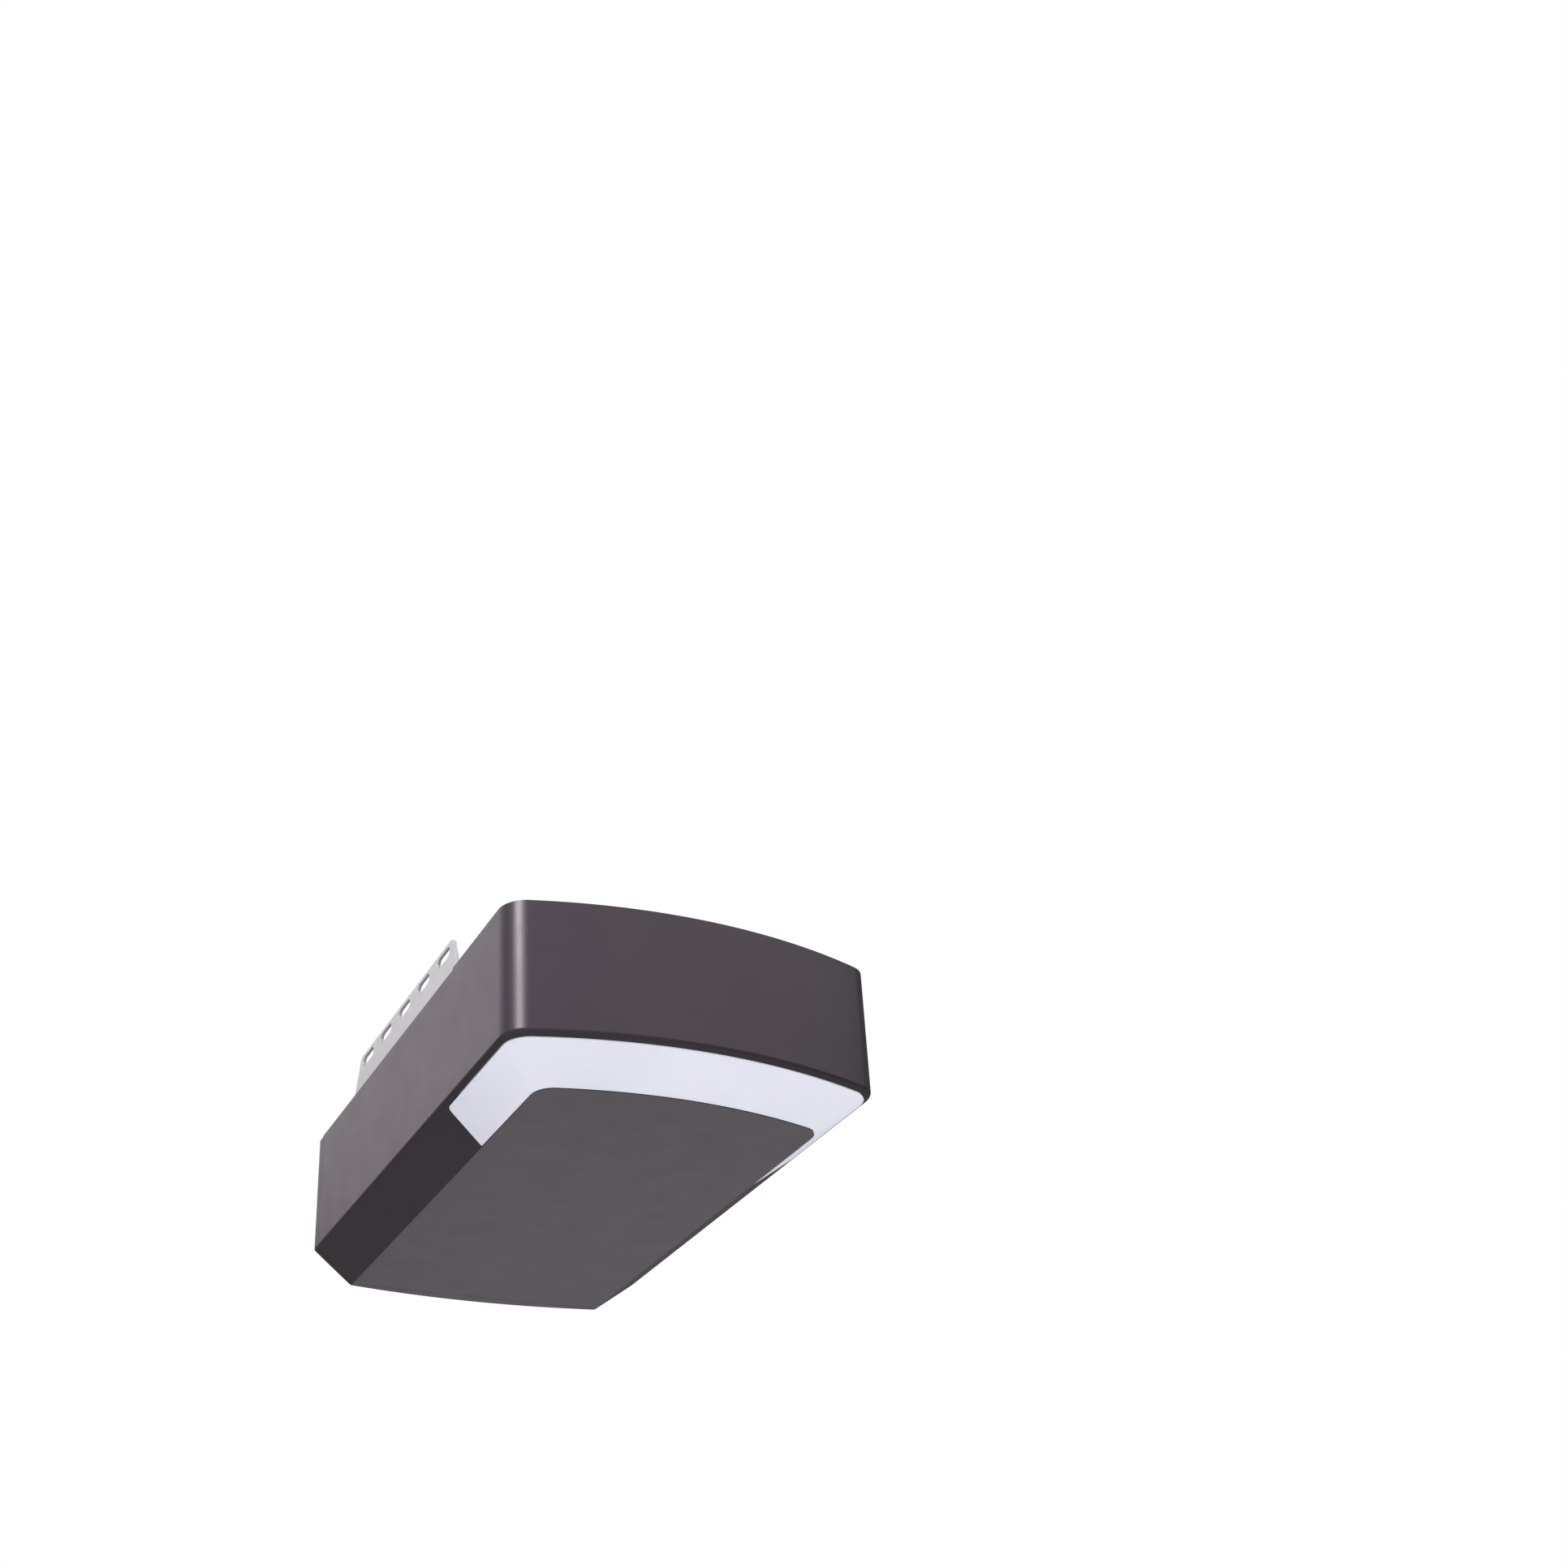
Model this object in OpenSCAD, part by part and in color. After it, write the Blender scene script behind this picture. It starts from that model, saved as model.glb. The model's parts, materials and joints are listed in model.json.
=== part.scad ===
// Ceiling-mounted garage door opener head.
// +Z up, -Y towards the lit front, +Y towards the control end.
// The origin is on the output shaft's axis, level with the top of the steel chassis plate.

/* [Housing] */
// Width of the housing at the lower edge of its walls
body_w = 250; // [244:1:256]
// Length of the side walls, from the front corner line to the rear corner line
side_len = 364; // [360:1:380]
// Distance from the front corner line back to the output shaft
shaft_back = 150; // [148:1:152]
// Height of the upright walls
wall_h = 84; // [84:1:96]
// Height of the bevel under the walls
bevel_h = 20.5; // [18:0.5:24]
// Inward run of the bevel at the sides
bevel_side = 30; // [26:0.5:32]
// Inward run of the bevel at the front corners
bevel_front = 25.5; // [22:0.5:30]
// How far the front wall bows forward
front_bow = 21.5; // [16:0.5:26]
// How far the bottom plate's front edge bows forward
bottom_bow = 13.7; // [10:0.1:18]
// How far the rear face bows backward
rear_bow = 14; // [12:0.5:16]
// Radius of the upright front corners
corner_r = 18; // [12:1:24]
// Radius of the bottom plate's front corners
bottom_corner_r = 14; // [8:1:20]
// Outward flare of each wall from its lower edge to its top
flare = 1.7; // [0:0.1:2.5]
// Thickness of the plastic housing
skin = 2.5; // [2:0.1:3]
// Height that the front of the housing stands above the chassis plate
lip_h = 1.5; // [1:0.1:2.5]

/* [Light] */
// Length of each side arm of the light lens, from the front corner line
lens_arm = 105; // [90:1:120]
// Rearward lean of the lens's end cuts, as rise over run
lens_cut = 0.35; // [0:0.05:0.6]
// Part of the bevel left as a dark rim above the lens
lens_rim = 0.115; // [0.08:0.005:0.2]
// Depth of the lens material, measured straight up
lens_t = 3; // [2:0.1:4]

/* [Brackets] */
// Thickness of the chassis plate and the folded brackets
sheet = 2; // [1.5:0.1:2.5]
// Height of the hanging flange above the chassis plate
flange_h = 33; // [30:0.5:40]
// Distance between neighbouring hanging slots
slot_pitch = 38; // [34:0.5:40]
// Length of a hanging slot, end to end
slot_len = 22; // [16:0.5:26]
// Width of a hanging slot
slot_w = 7; // [6:0.5:8]
// Height of the slots' centre line above the chassis plate
slot_z = 26.5; // [25:0.5:28]

/* [Drive] */
// Number of teeth on the worm wheel
wheel_teeth = 30; // [28:1:30]
// Module of the worm and the worm wheel
gear_module = 2; // [2:0.5:2]
// Radius of the worm at its pitch line
worm_pitch_r = 9; // [9:0.5:9]
// Radius of the output shaft's free end
drive_r = 6; // [5:0.5:6]
// Length of the output shaft above the chassis plate
drive_len = 24; // [20:1:30]
// Outer radius of the motor can
can_r = 30; // [29:0.5:30.5]

/* [Controls] */
// Diameter of each push button
button_d = 10; // [8:0.5:11]
// Distance between neighbouring push buttons
button_pitch = 16; // [15:0.5:17]
// Travel of each push button
button_travel = 2; // [1:0.5:2.5]

/* [Hidden] */

$fn = 48;

// Housing levels: -1 is the top of the walls, 0 their lower edge, 1 the bottom plate.
half_w = body_w / 2;
front_y = -shaft_back;
rear_y = front_y + side_len;
top_level = -1 - lip_h / wall_h;
step_y = -62;
floor_z = -wall_h - bevel_h;
seam_y = rear_y - 9;
seam_base_y = rear_y + 3;
seam_gap = 0.3;
far = 300;
thin = 0.01;

// The hood's and the rear cover's inner faces meet the corners at these shares of the skin
waist_share = 0.53;
base_share = 0.31;

// Chassis
chassis_half = half_w + flare - skin - 2.4;
chassis_back = seam_y - 2;
shaft_hole_r = 16;
hood_post = [half_w - 13, rear_y - 34];
deck_post = [half_w - 25, front_y + 35];
cover_ear = [58, rear_y - 22];
small_screw_r = 1.8;
small_hole_r = 2.2;

// Light
reflector_rise = 14;
rib_in = 6.5;
led_t = 1.6;

// Hanging brackets
flange_x = chassis_half;
slot_count = 5;
slot_mid_y = 46;
flange_top = 95;
flange_base = 106;
foot_w = 27;
rivet_x = flange_x - 16;
rivet_step = 70;
rivet_r = 2.5;

// Rail seat
seat_w = 72;
seat_len = 116;
seat_t = 2.5;
rail_w = 38;
pad_half = rail_w / 2 - 1;
guide_t = 2;
guide_h = 12;
guide_len = 33;
rail_bolt_r = 3;
clamp_y = 46;
clamp_x = 30;
clamp_w = 22;
clamp_h = 30;
clamp_t = 2.5;

// Gearbox
pitch = PI * gear_module;
wheel_r = wheel_teeth * gear_module / 2;
worm_x = -(wheel_r + worm_pitch_r);
drive_z = -34;
wheel_w = 12;
worm_len = 32;
worm_root = worm_pitch_r - 2.3;
worm_tip = worm_pitch_r + gear_module;
crest_half = 0.5;
foot_half = 1.7;
wheel_root = wheel_r - 2.4;
wheel_tip = wheel_r + gear_module;
tooth_root = 1.6;
tooth_tip = 0.6;
hub_r = 13;
gear_top = -14;
gear_floor = -60;
gear_half_y = 44;
lid_t = 6;
journal_r = 7;
drive_round = drive_len / 2;
hex_r = drive_r - 0.3;
key_half = 2;
key_sink = 2.5;
key_rise = 1.7;
circlip_z = -4;
circlip_groove_r = journal_r - 0.8;
bush_r = 9;
run_gap = 0.05;
rotor_r = 4;
bearing_r = 11;
bearing_len = 7;
mount_x = [-68, 52];
mount_y = 34;
mount_bolt_r = 3;
mount_hole_r = 3.3;
damper_r = 8;
lid_screws = [[37, 37], [37, -37], [-55, 38], [-55, -38]];

// Motor
can_len = 94;
can_y = gear_half_y;
can_back = can_y + can_len;
can_wall = 2;
armature_r = 20.5;
core_y = 62;
core_len = 50;
commutator_r = 9;
commutator_y = 122;
commutator_len = 9;
cap_t = 8;
coil_slots = 12;
coil_ring_r = 15.5;
magnet_r = 22.3;

// Transformer
coil_pos = [46, 104, -52];
core_w = 66;
core_h = 55;
core_t = 30;
limb_w = 22;
window_w = 11;
window_h = 33;
coil_foot_x = core_w / 2 + 9;

// Control end
board_y = rear_y - 18;
board_t = 1.6;
board_w = 200;
board_top = -14;
board_h = 66;
panel_x = [-84, 26];
panel_z = [-66, -22];
panel_face = rear_y + 7;
button_x = -66;
button_z = -50;
flange_y = panel_face - 4.6;
stem_y = board_y + board_t + 6.4;
inlet_pos = [60, -38];
inlet_face = rear_y + 6.5;
inlet_t = 2.5;
inlet_half = [25, 12];
socket_half = [14, 10];
pin_x = 7;
terminal_x = [36, 82];
terminal_z = [-79, -66];
terminal_ways = 8;
display_x = [-9, 21];
display_z = [-60, -40];
board_hole_x = 86;
board_hole_y = board_y - 12;
board_hole_z = [board_top - 8, board_top - 22];
panel_t = 2.5;
air_slots = 7;
air_x = [-114, -92];
air_z = -68;
air_pitch = 7;
air_w = 2.5;

function arc(centre, r, from, to, steps) = [
    for (i = [0:steps])
        let (a = from + (to - from) * i / steps)
            [centre[0] + r * cos(a), centre[1] + r * sin(a)]
];

// Plan outline: bowed front with round corners, straight sides, bowed rear with sharp corners.
function plan(half, front, bow, corner, rear, back) =
    let (
        big = (half * half + bow * bow) / (2 * bow),
        big_y = front - bow + big,
        fillet_x = half - corner,
        fillet_y = big_y - sqrt(pow(big - corner, 2) - pow(fillet_x, 2)),
        turn = atan2(fillet_y - big_y, fillet_x),
        back_r = (half * half + back * back) / (2 * back),
        back_y = rear + back - back_r,
        back_turn = atan2(rear - back_y, half)
    )
    concat(
        arc([-fillet_x, fillet_y], corner, 180, 180 - turn, 5),
        arc([0, big_y], big, -180 - turn, turn, 16),
        arc([fillet_x, fillet_y], corner, turn, 0, 5),
        arc([0, back_y], back_r, back_turn, 180 - back_turn, 12)
    );

// Distance of the rear face behind the rear corner line at a given distance from the middle
function rear_drop(x) = rear_bow * (1 - pow(x / half_w, 2));

// Height of the reflector's lower face at a given distance in from the housing's side
function reflector_low(inward) = -wall_h - bevel_h * inward / bevel_side + reflector_rise;

function wall_plan(rise, inset) = plan(
    half_w + flare * rise - inset, front_y - flare * rise + inset, front_bow,
    corner_r - inset, rear_y - inset, rear_bow);

function bevel_plan(s, inset) =
    let (half = half_w - bevel_side * s - inset)
    plan(half, front_y + bevel_front * s + inset,
        front_bow + (bottom_bow - front_bow) * s,
        corner_r + (bottom_corner_r - corner_r) * s - inset,
        rear_y + rear_drop(half) - inset, rear_bow - rear_drop(half));

module wall_slab(level, inset, lift) {
    translate([0, 0, -wall_h * (1 + level) + lift])
        linear_extrude(thin)
            polygon(wall_plan(-level, inset));
}

module bevel_slab(s, inset, lift) {
    translate([0, 0, -wall_h - bevel_h * s + lift])
        linear_extrude(thin)
            polygon(bevel_plan(s, inset));
}

// The whole housing as one closed form, shrunk by t on its sides and floor.
module body_form(t, level) {
    hull() {
        wall_slab(level, t, -thin);
        bevel_slab(0, t, waist_share * t);
        bevel_slab(1, base_share * t, t);
    }
}

module shell() {
    difference() {
        body_form(0, top_level);
        body_form(skin, top_level - 0.1);
    }
}

// A layer that follows the bevel from level a to level b, between two heights above it.
module bevel_layer(a, b, low, high) {
    difference() {
        translate([0, 0, low])
            hull() {
                bevel_slab(a, 0, 0);
                bevel_slab(b, 0, 0);
            }
        translate([0, 0, high])
            hull() {
                bevel_slab(a - 0.6, 0, 0);
                bevel_slab(b + 0.6, 0, 0);
            }
    }
}

// Everything in front of the lens's two end cuts, moved forward by back_off.
module lens_zone(back_off) {
    outer = half_w + 20;
    inner = 50;
    rim_x = half_w - bevel_side * lens_rim;
    cut_y = front_y + lens_arm - back_off;
    y_outer = cut_y - (outer - rim_x) * lens_cut;
    y_inner = cut_y + (rim_x - inner) * lens_cut;
    translate([0, 0, floor_z - 10])
        linear_extrude(wall_h)
            polygon([
                [-outer, y_outer], [-inner, y_inner], [inner, y_inner], [outer, y_outer],
                [outer, -far], [-outer, -far]
            ]);
}

// Everything behind the seam between the hood and the rear cover.
module behind_seam(gap) {
    rotate([90, 0, 90])
        linear_extrude(far, center = true)
            polygon([
                [seam_y + gap, 20], [seam_y + gap, -wall_h],
                [seam_base_y + gap, floor_z], [seam_base_y + gap, floor_z - 5],
                [far, floor_z - 5], [far, 20]
            ]);
}

module box(low, high) {
    translate(low)
        cube(high - low);
}

module both_sides() {
    children();
    mirror([1, 0, 0])
        children();
}

module rod_z(x, y, r, low, high) {
    translate([x, y, low])
        cylinder(r = r, h = high - low);
}

module rod_y(x, z, r, low, high) {
    translate([x, low, z])
        rotate([-90, 0, 0])
            cylinder(r = r, h = high - low);
}

// A pan-head screw pointing down, its head resting at the given height.
module screw(x, y, z, r, len, head_r, head_h) {
    difference() {
        union() {
            rod_z(x, y, r, z - len, z + thin);
            rod_z(x, y, head_r, z, z + head_h);
        }
        translate([x, y, z + head_h / 2])
            cylinder(r = head_r / 2, h = head_h, $fn = 6);
    }
}

// A post on the hood's wall that takes a screw from above.
module wall_post(at, low, top) {
    difference() {
        union() {
            rod_z(at[0], at[1], 5, low, top);
            box([at[0], at[1] - 1.5, low], [half_w - skin / 2, at[1] + 1.5, top]);
        }
        rod_z(at[0], at[1], small_screw_r, top - 14, top + 1);
    }
}

// Housing

module hood() {
    color("#5b545c") {
        difference() {
            shell();
            behind_seam(0);
            box([-far, step_y, 0], [far, far, 20]);
            intersection() {
                bevel_layer(lens_rim - 0.008, 1.004, -0.05, lens_t + 3);
                lens_zone(-0.2);
            }
        }
        both_sides() {
            wall_post(hood_post, -48, -sheet);
            wall_post(deck_post, -36, lip_h - skin);
            // ribs under the reflector's outer edge
            for (y = [-128, -90, -52])
                box([half_w - rib_in, y - 1.5, -wall_h + 4],
                    [half_w - skin / 2, y + 1.5, reflector_low(rib_in)]);
        }
    }
}

module rear_cover() {
    face_low = inlet_face - skin;
    pocket = inlet_half + [1, 1];
    inside = rear_y - 14;
    color("#564f57") {
        difference() {
            union() {
                intersection() {
                    shell();
                    behind_seam(seam_gap);
                    box([-far, 0, floor_z - 1], [far, far, 0]);
                }
                intersection() {
                    body_form(0, -1);
                    union() {
                        box([inlet_pos[0] - pocket[0] - 3, face_low, inlet_pos[1] - pocket[1] - 3],
                            [inlet_pos[0] + pocket[0] + 3, far, inlet_pos[1] + pocket[1] + 3]);
                        // top of the cover, level with the chassis plate
                        box([-far, seam_y + seam_gap, -skin], [far, far, 0]);
                    }
                }
            }
            // pocket and opening for the mains inlet
            box([inlet_pos[0] - pocket[0], inlet_face, inlet_pos[1] - pocket[1]],
                [inlet_pos[0] + pocket[0], far, inlet_pos[1] + pocket[1]]);
            box([inlet_pos[0] - socket_half[0] - 0.3, inside, inlet_pos[1] - socket_half[1] - 0.3],
                [inlet_pos[0] + socket_half[0] + 0.3, far, inlet_pos[1] + socket_half[1] + 0.3]);
            both_at_inlet()
                rod_y(0, 0, 1.5, inside, far);
            // opening for the control panel
            box([panel_x[0] - 0.3, inside, panel_z[0] - 0.3],
                [panel_x[1] + 0.3, far, panel_z[1] + 0.3]);
            // opening for the wires to the terminal block
            box([terminal_x[0] - 2, inside, terminal_z[0] - 2],
                [terminal_x[1] + 2, far, terminal_z[1] + 2]);
            for (i = [0:air_slots - 1])
                box([air_x[0], inside, air_z + air_pitch * i],
                    [air_x[1], far, air_z + air_pitch * i + air_w]);
        }
        // ears under the chassis plate
        both_sides()
            difference() {
                box([cover_ear[0] - 9, cover_ear[1] - 8, -sheet - 4],
                    [cover_ear[0] + 9, rear_y + 3, -sheet]);
                rod_z(cover_ear[0], cover_ear[1], small_screw_r, -10, 0);
            }
    }
}

module front_deck() {
    color("#5b545c")
        difference() {
            intersection() {
                translate([0, 0, lip_h - skin])
                    linear_extrude(skin)
                        polygon(wall_plan(1, skin + 0.3));
                box([-far, -far, -5], [far, step_y - 0.3, 5]);
            }
            both_sides()
                rod_z(deck_post[0], deck_post[1], small_hole_r, -5, 5);
        }
}

// Light

module light_lens() {
    color("#e6e7f2")
        intersection() {
            bevel_layer(lens_rim, 0.99, 0, lens_t);
            lens_zone(0);
        }
}

module light_reflector() {
    color("#f0f0f0")
        intersection() {
            bevel_layer(0.16, 0.96, reflector_rise, reflector_rise + 1.5);
            lens_zone(4);
        }
}

// A strip of circuit board with its row of light-emitting diodes on the lower face.
module led_strip(len, count) {
    box([-9, -len / 2, 0], [9, len / 2, led_t]);
    for (i = [0:count - 1])
        translate([0, (i - (count - 1) / 2) * len / count, -1])
            box([-1.75, -1.75, 0], [1.75, 1.75, 1.01]);
}

module side_led_board() {
    slope = atan2(bevel_h, bevel_side);
    translate([half_w - bevel_side / 2, -88, reflector_low(bevel_side / 2) - led_t / cos(slope) - 0.05])
        rotate([0, -slope, 0])
            led_strip(70, 5);
}

module led_board_right() {
    color("#f4f4f0")
        side_led_board();
}

module led_board_left() {
    color("#f4f4f0")
        mirror([1, 0, 0])
            side_led_board();
}

module led_board_front() {
    slope = atan2(bevel_h, bevel_front + front_bow - bottom_bow);
    color("#f4f4f0")
        translate([0, front_y - 0.5, -wall_h - bevel_h / 2 + 7.5])
            rotate([-slope, 0, 0])
                rotate([0, 0, 90])
                    led_strip(148, 9);
}

// Chassis and hanging brackets

module chassis_plate() {
    color("#c9c7c9") {
        difference() {
            box([-chassis_half, step_y + 0.3, -sheet], [chassis_half, chassis_back, 0]);
            rod_z(0, 0, shaft_hole_r, -5, 5);
            both_sides() {
                for (i = [-1:1])
                    rod_z(rivet_x, slot_mid_y + i * rivet_step, rivet_r, -5, 5);
                rod_z(hood_post[0], hood_post[1], small_hole_r, -5, 5);
                rod_z(cover_ear[0], cover_ear[1], small_hole_r, -5, 5);
                for (y = [-clamp_y, clamp_y])
                    rod_z(clamp_x, y, rail_bolt_r, -5, 5);
                rod_z(board_hole_x, board_hole_y, 2, -5, 5);
            }
            for (x = mount_x, y = [-mount_y, mount_y])
                rod_z(x, y, mount_hole_r, -5, 5);
            for (x = [-1, 1])
                rod_z(coil_pos[0] + x * coil_foot_x, coil_pos[1], 2, -5, 5);
        }
        // weld nuts for the rail clamps
        for (x = [-clamp_x, clamp_x], y = [-clamp_y, clamp_y])
            difference() {
                rod_z(x, y, rail_bolt_r + 2, -sheet - 1.8, -sheet);
                rod_z(x, y, rail_bolt_r, -10, 0);
            }
    }
}

// Upright flange with its row of slots, and the foot that lies on the chassis plate.
module hanging_bracket() {
    r = 7;
    lean = atan2(flange_base - flange_top, flange_h);
    bend_r = sheet;
    difference() {
        union() {
            translate([flange_x - sheet, slot_mid_y, 0])
                rotate([90, 0, 90])
                    linear_extrude(sheet)
                        polygon(concat(
                            [[-flange_base, 0], [flange_base, 0]],
                            arc([flange_top - r, flange_h - r], r, 90 - lean - 70, 90, 8),
                            arc([r - flange_top, flange_h - r], r, 90, 90 + lean + 70, 8)
                        ));
            box([flange_x - foot_w, slot_mid_y - flange_base, 0],
                [flange_x - thin, slot_mid_y + flange_base, sheet]);
            // inside of the fold
            difference() {
                box([flange_x - sheet - bend_r, slot_mid_y - flange_base + 2, sheet - thin],
                    [flange_x - sheet + thin, slot_mid_y + flange_base - 2, sheet + bend_r]);
                rod_y(flange_x - sheet - bend_r, sheet + bend_r, bend_r, -far, far);
            }
        }
        for (i = [0:slot_count - 1])
            translate([flange_x, slot_mid_y + (i - (slot_count - 1) / 2) * slot_pitch, slot_z])
                rotate([0, 90, 0]) {
                    for (side = [-1, 1])
                        translate([0, side * (slot_len - slot_w) / 2, 0])
                            cylinder(r = slot_w / 2, h = 10, center = true);
                    cube([slot_w, slot_len - slot_w, 10], center = true);
                }
        for (i = [-1:1])
            rod_z(rivet_x, slot_mid_y + i * rivet_step, rivet_r, -5, 5);
    }
}

module bracket_right() {
    color("#c8c6c8")
        hanging_bracket();
}

module bracket_left() {
    color("#c8c6c8")
        mirror([1, 0, 0])
            hanging_bracket();
}

module bracket_rivets() {
    color("#b5b4b6")
        both_sides()
            for (i = [-1:1])
                translate([rivet_x, slot_mid_y + i * rivet_step, 0])
                    rotate_extrude()
                        polygon([
                            [0, -4], [3, -4], [4, -sheet], [rivet_r, -sheet], [rivet_r, sheet],
                            [5, sheet], [4.4, sheet + 1], [3, sheet + 1.6], [0, sheet + 1.8]
                        ]);
}

module housing_screws() {
    color("#3c3a3e")
        both_sides() {
            screw(hood_post[0], hood_post[1], 0, small_screw_r, 14, 4, 2.4);
            screw(cover_ear[0], cover_ear[1], 0, small_screw_r, 6, 4, 2.4);
            screw(deck_post[0], deck_post[1], lip_h, small_screw_r, 14, 4, 2.4);
        }
}

// Rail seat and clamps

module rail_seat() {
    color("#bdbcbe")
        difference() {
            union() {
                box([-seat_w / 2, -seat_len / 2, 0], [seat_w / 2, seat_len / 2, seat_t]);
                // raised pad that the rail rests on
                box([-pad_half, -seat_len / 2, 0], [pad_half, seat_len / 2, seat_t + 1]);
                both_sides()
                    for (y = [-seat_len / 2, seat_len / 2 - guide_len])
                        box([rail_w / 2, y, 0], [rail_w / 2 + guide_t, y + guide_len, guide_h]);
            }
            rod_z(0, 0, shaft_hole_r, -5, 5);
            for (x = [-clamp_x, clamp_x], y = [-clamp_y, clamp_y])
                rod_z(x, y, rail_bolt_r, -5, 5);
        }
}

// A hat-shaped strap that goes over the rail and is bolted down at both sides.
module rail_clamp() {
    inner = rail_w / 2 + guide_t + 0.5;
    color("#bdbcbe")
        difference() {
            union() {
                box([-seat_w / 2, -clamp_w / 2, seat_t], [seat_w / 2, clamp_w / 2, seat_t + clamp_t]);
                box([-inner - clamp_t, -clamp_w / 2, seat_t],
                    [inner + clamp_t, clamp_w / 2, seat_t + clamp_h + clamp_t]);
            }
            box([-inner, -clamp_w, 0], [inner, clamp_w, seat_t + clamp_h]);
            both_sides()
                rod_z(clamp_x, 0, rail_bolt_r, 0, 10);
        }
}

module rail_clamp_front() {
    translate([0, -clamp_y, 0])
        rail_clamp();
}

module rail_clamp_rear() {
    translate([0, clamp_y, 0])
        rail_clamp();
}

module rail_clamp_bolts() {
    color("#8f8e92")
        for (x = [-clamp_x, clamp_x], y = [-clamp_y, clamp_y])
            screw(x, y, seat_t + clamp_t, rail_bolt_r, 8.5, 5, 4);
}

// Gearbox

module rounded_plate(low, high, r) {
    box([low[0] + r, low[1], low[2]], [high[0] - r, high[1], high[2]]);
    box([low[0], low[1] + r, low[2]], [high[0], high[1] - r, high[2]]);
    for (x = [low[0] + r, high[0] - r], y = [low[1] + r, high[1] - r])
        rod_z(x, y, r, low[2], high[2]);
}

module gearbox_housing() {
    color("#a9abae")
        difference() {
            rounded_plate([-60, -gear_half_y, gear_floor], [44, gear_half_y, gear_top], 6);
            rod_z(0, 0, wheel_r + 6, drive_z - wheel_w / 2 - 4, 0);
            rod_y(worm_x, drive_z, worm_tip + 1.5, -gear_half_y + bearing_len, gear_half_y - bearing_len);
            rod_y(worm_x, drive_z, bearing_r, -far, far);
            rod_z(0, 0, bush_r, gear_floor - 1, 0);
            for (p = lid_screws)
                rod_z(p[0], p[1], 2, -32, 0);
            at_through_bolts()
                rod_y(0, 0, 2, gear_half_y - 10, far);
        }
}

module gearbox_lid() {
    color("#b4b6b9")
        difference() {
            rounded_plate([-76, -gear_half_y, gear_top], [60, gear_half_y, gear_top + lid_t], 8);
            rod_z(0, 0, bush_r, -20, 0);
            for (p = lid_screws)
                rod_z(p[0], p[1], 2.2, -20, 0);
            for (x = mount_x, y = [-mount_y, mount_y])
                rod_z(x, y, mount_bolt_r, -20, 0);
        }
}

module gearbox_lid_screws() {
    color("#6d6c70")
        for (p = lid_screws)
            screw(p[0], p[1], gear_top + lid_t, 2, 20, 3.5, 3);
}

module gearbox_dampers() {
    color("#26262a")
        for (x = mount_x, y = [-mount_y, mount_y])
            difference() {
                rod_z(x, y, damper_r, gear_top + lid_t, -sheet);
                rod_z(x, y, mount_hole_r, -20, 0);
            }
}

module gearbox_mount_bolts() {
    color("#8f8e92")
        for (x = mount_x, y = [-mount_y, mount_y])
            screw(x, y, 0, mount_bolt_r, 13.5, 6, 4);
}

module flanged_bush(low, high, flange_low) {
    difference() {
        union() {
            rod_z(0, 0, bush_r, low, high);
            rod_z(0, 0, bush_r + 3, flange_low, flange_low + 1.5);
        }
        rod_z(0, 0, journal_r + run_gap, low - 1, high + 1);
    }
}

module lower_bush() {
    color("#b08a4a")
        flanged_bush(gear_floor, drive_z - wheel_w / 2 - 2.5, drive_z - wheel_w / 2 - 4);
}

module upper_bush() {
    color("#b08a4a")
        flanged_bush(gear_top, gear_top + lid_t + 1.5, gear_top + lid_t);
}

module worm_wheel() {
    step = 360 / wheel_teeth;
    root_a = asin(tooth_root / wheel_root);
    tip_a = asin(tooth_tip / wheel_tip);
    color("#e8e0c8")
        difference() {
            translate([0, 0, drive_z - wheel_w / 2])
                linear_extrude(wheel_w)
                    polygon([
                        for (i = [0:wheel_teeth - 1], k = [0:3])
                            let (
                                a = 180 + i * step + [-root_a, -tip_a, tip_a, root_a][k],
                                r = k == 1 || k == 2 ? wheel_tip : wheel_root
                            )
                            [r * cos(a), r * sin(a)]
                    ]);
            for (side = [-1, 1])
                translate([0, 0, drive_z + side * wheel_w / 2])
                    difference() {
                        cylinder(r = wheel_root - 4, h = 6, center = true);
                        cylinder(r = hub_r, h = 8, center = true);
                    }
            rod_z(0, 0, journal_r, -far, 0);
            box([-key_half, 0, drive_z - wheel_w], [key_half, journal_r + 2, drive_z + wheel_w]);
        }
}

module output_shaft() {
    color("#9c9ea2")
        difference() {
            union() {
                rod_z(0, 0, journal_r, gear_floor + 1, -1);
                rod_z(0, 0, drive_r, -1 - thin, drive_round);
                // hexagonal end for the rail's sprocket
                translate([0, 0, drive_round - thin])
                    cylinder(r = hex_r, h = drive_len - drive_round - 1, $fn = 6);
                translate([0, 0, drive_len - 1 - 2 * thin])
                    cylinder(r1 = hex_r, r2 = hex_r - 1, h = 1, $fn = 6);
            }
            // keyway for the wheel
            box([-key_half, journal_r - key_sink, drive_z - 5], [key_half, journal_r + 1, drive_z + 5]);
            // circlip groove
            difference() {
                rod_z(0, 0, journal_r + 1, circlip_z - 0.6, circlip_z + 0.6);
                rod_z(0, 0, circlip_groove_r, circlip_z - 1, circlip_z + 1);
            }
        }
}

module shaft_key() {
    color("#77797d")
        box([-key_half, journal_r - key_sink, drive_z - 5], [key_half, journal_r + key_rise, drive_z + 5]);
}

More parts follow.
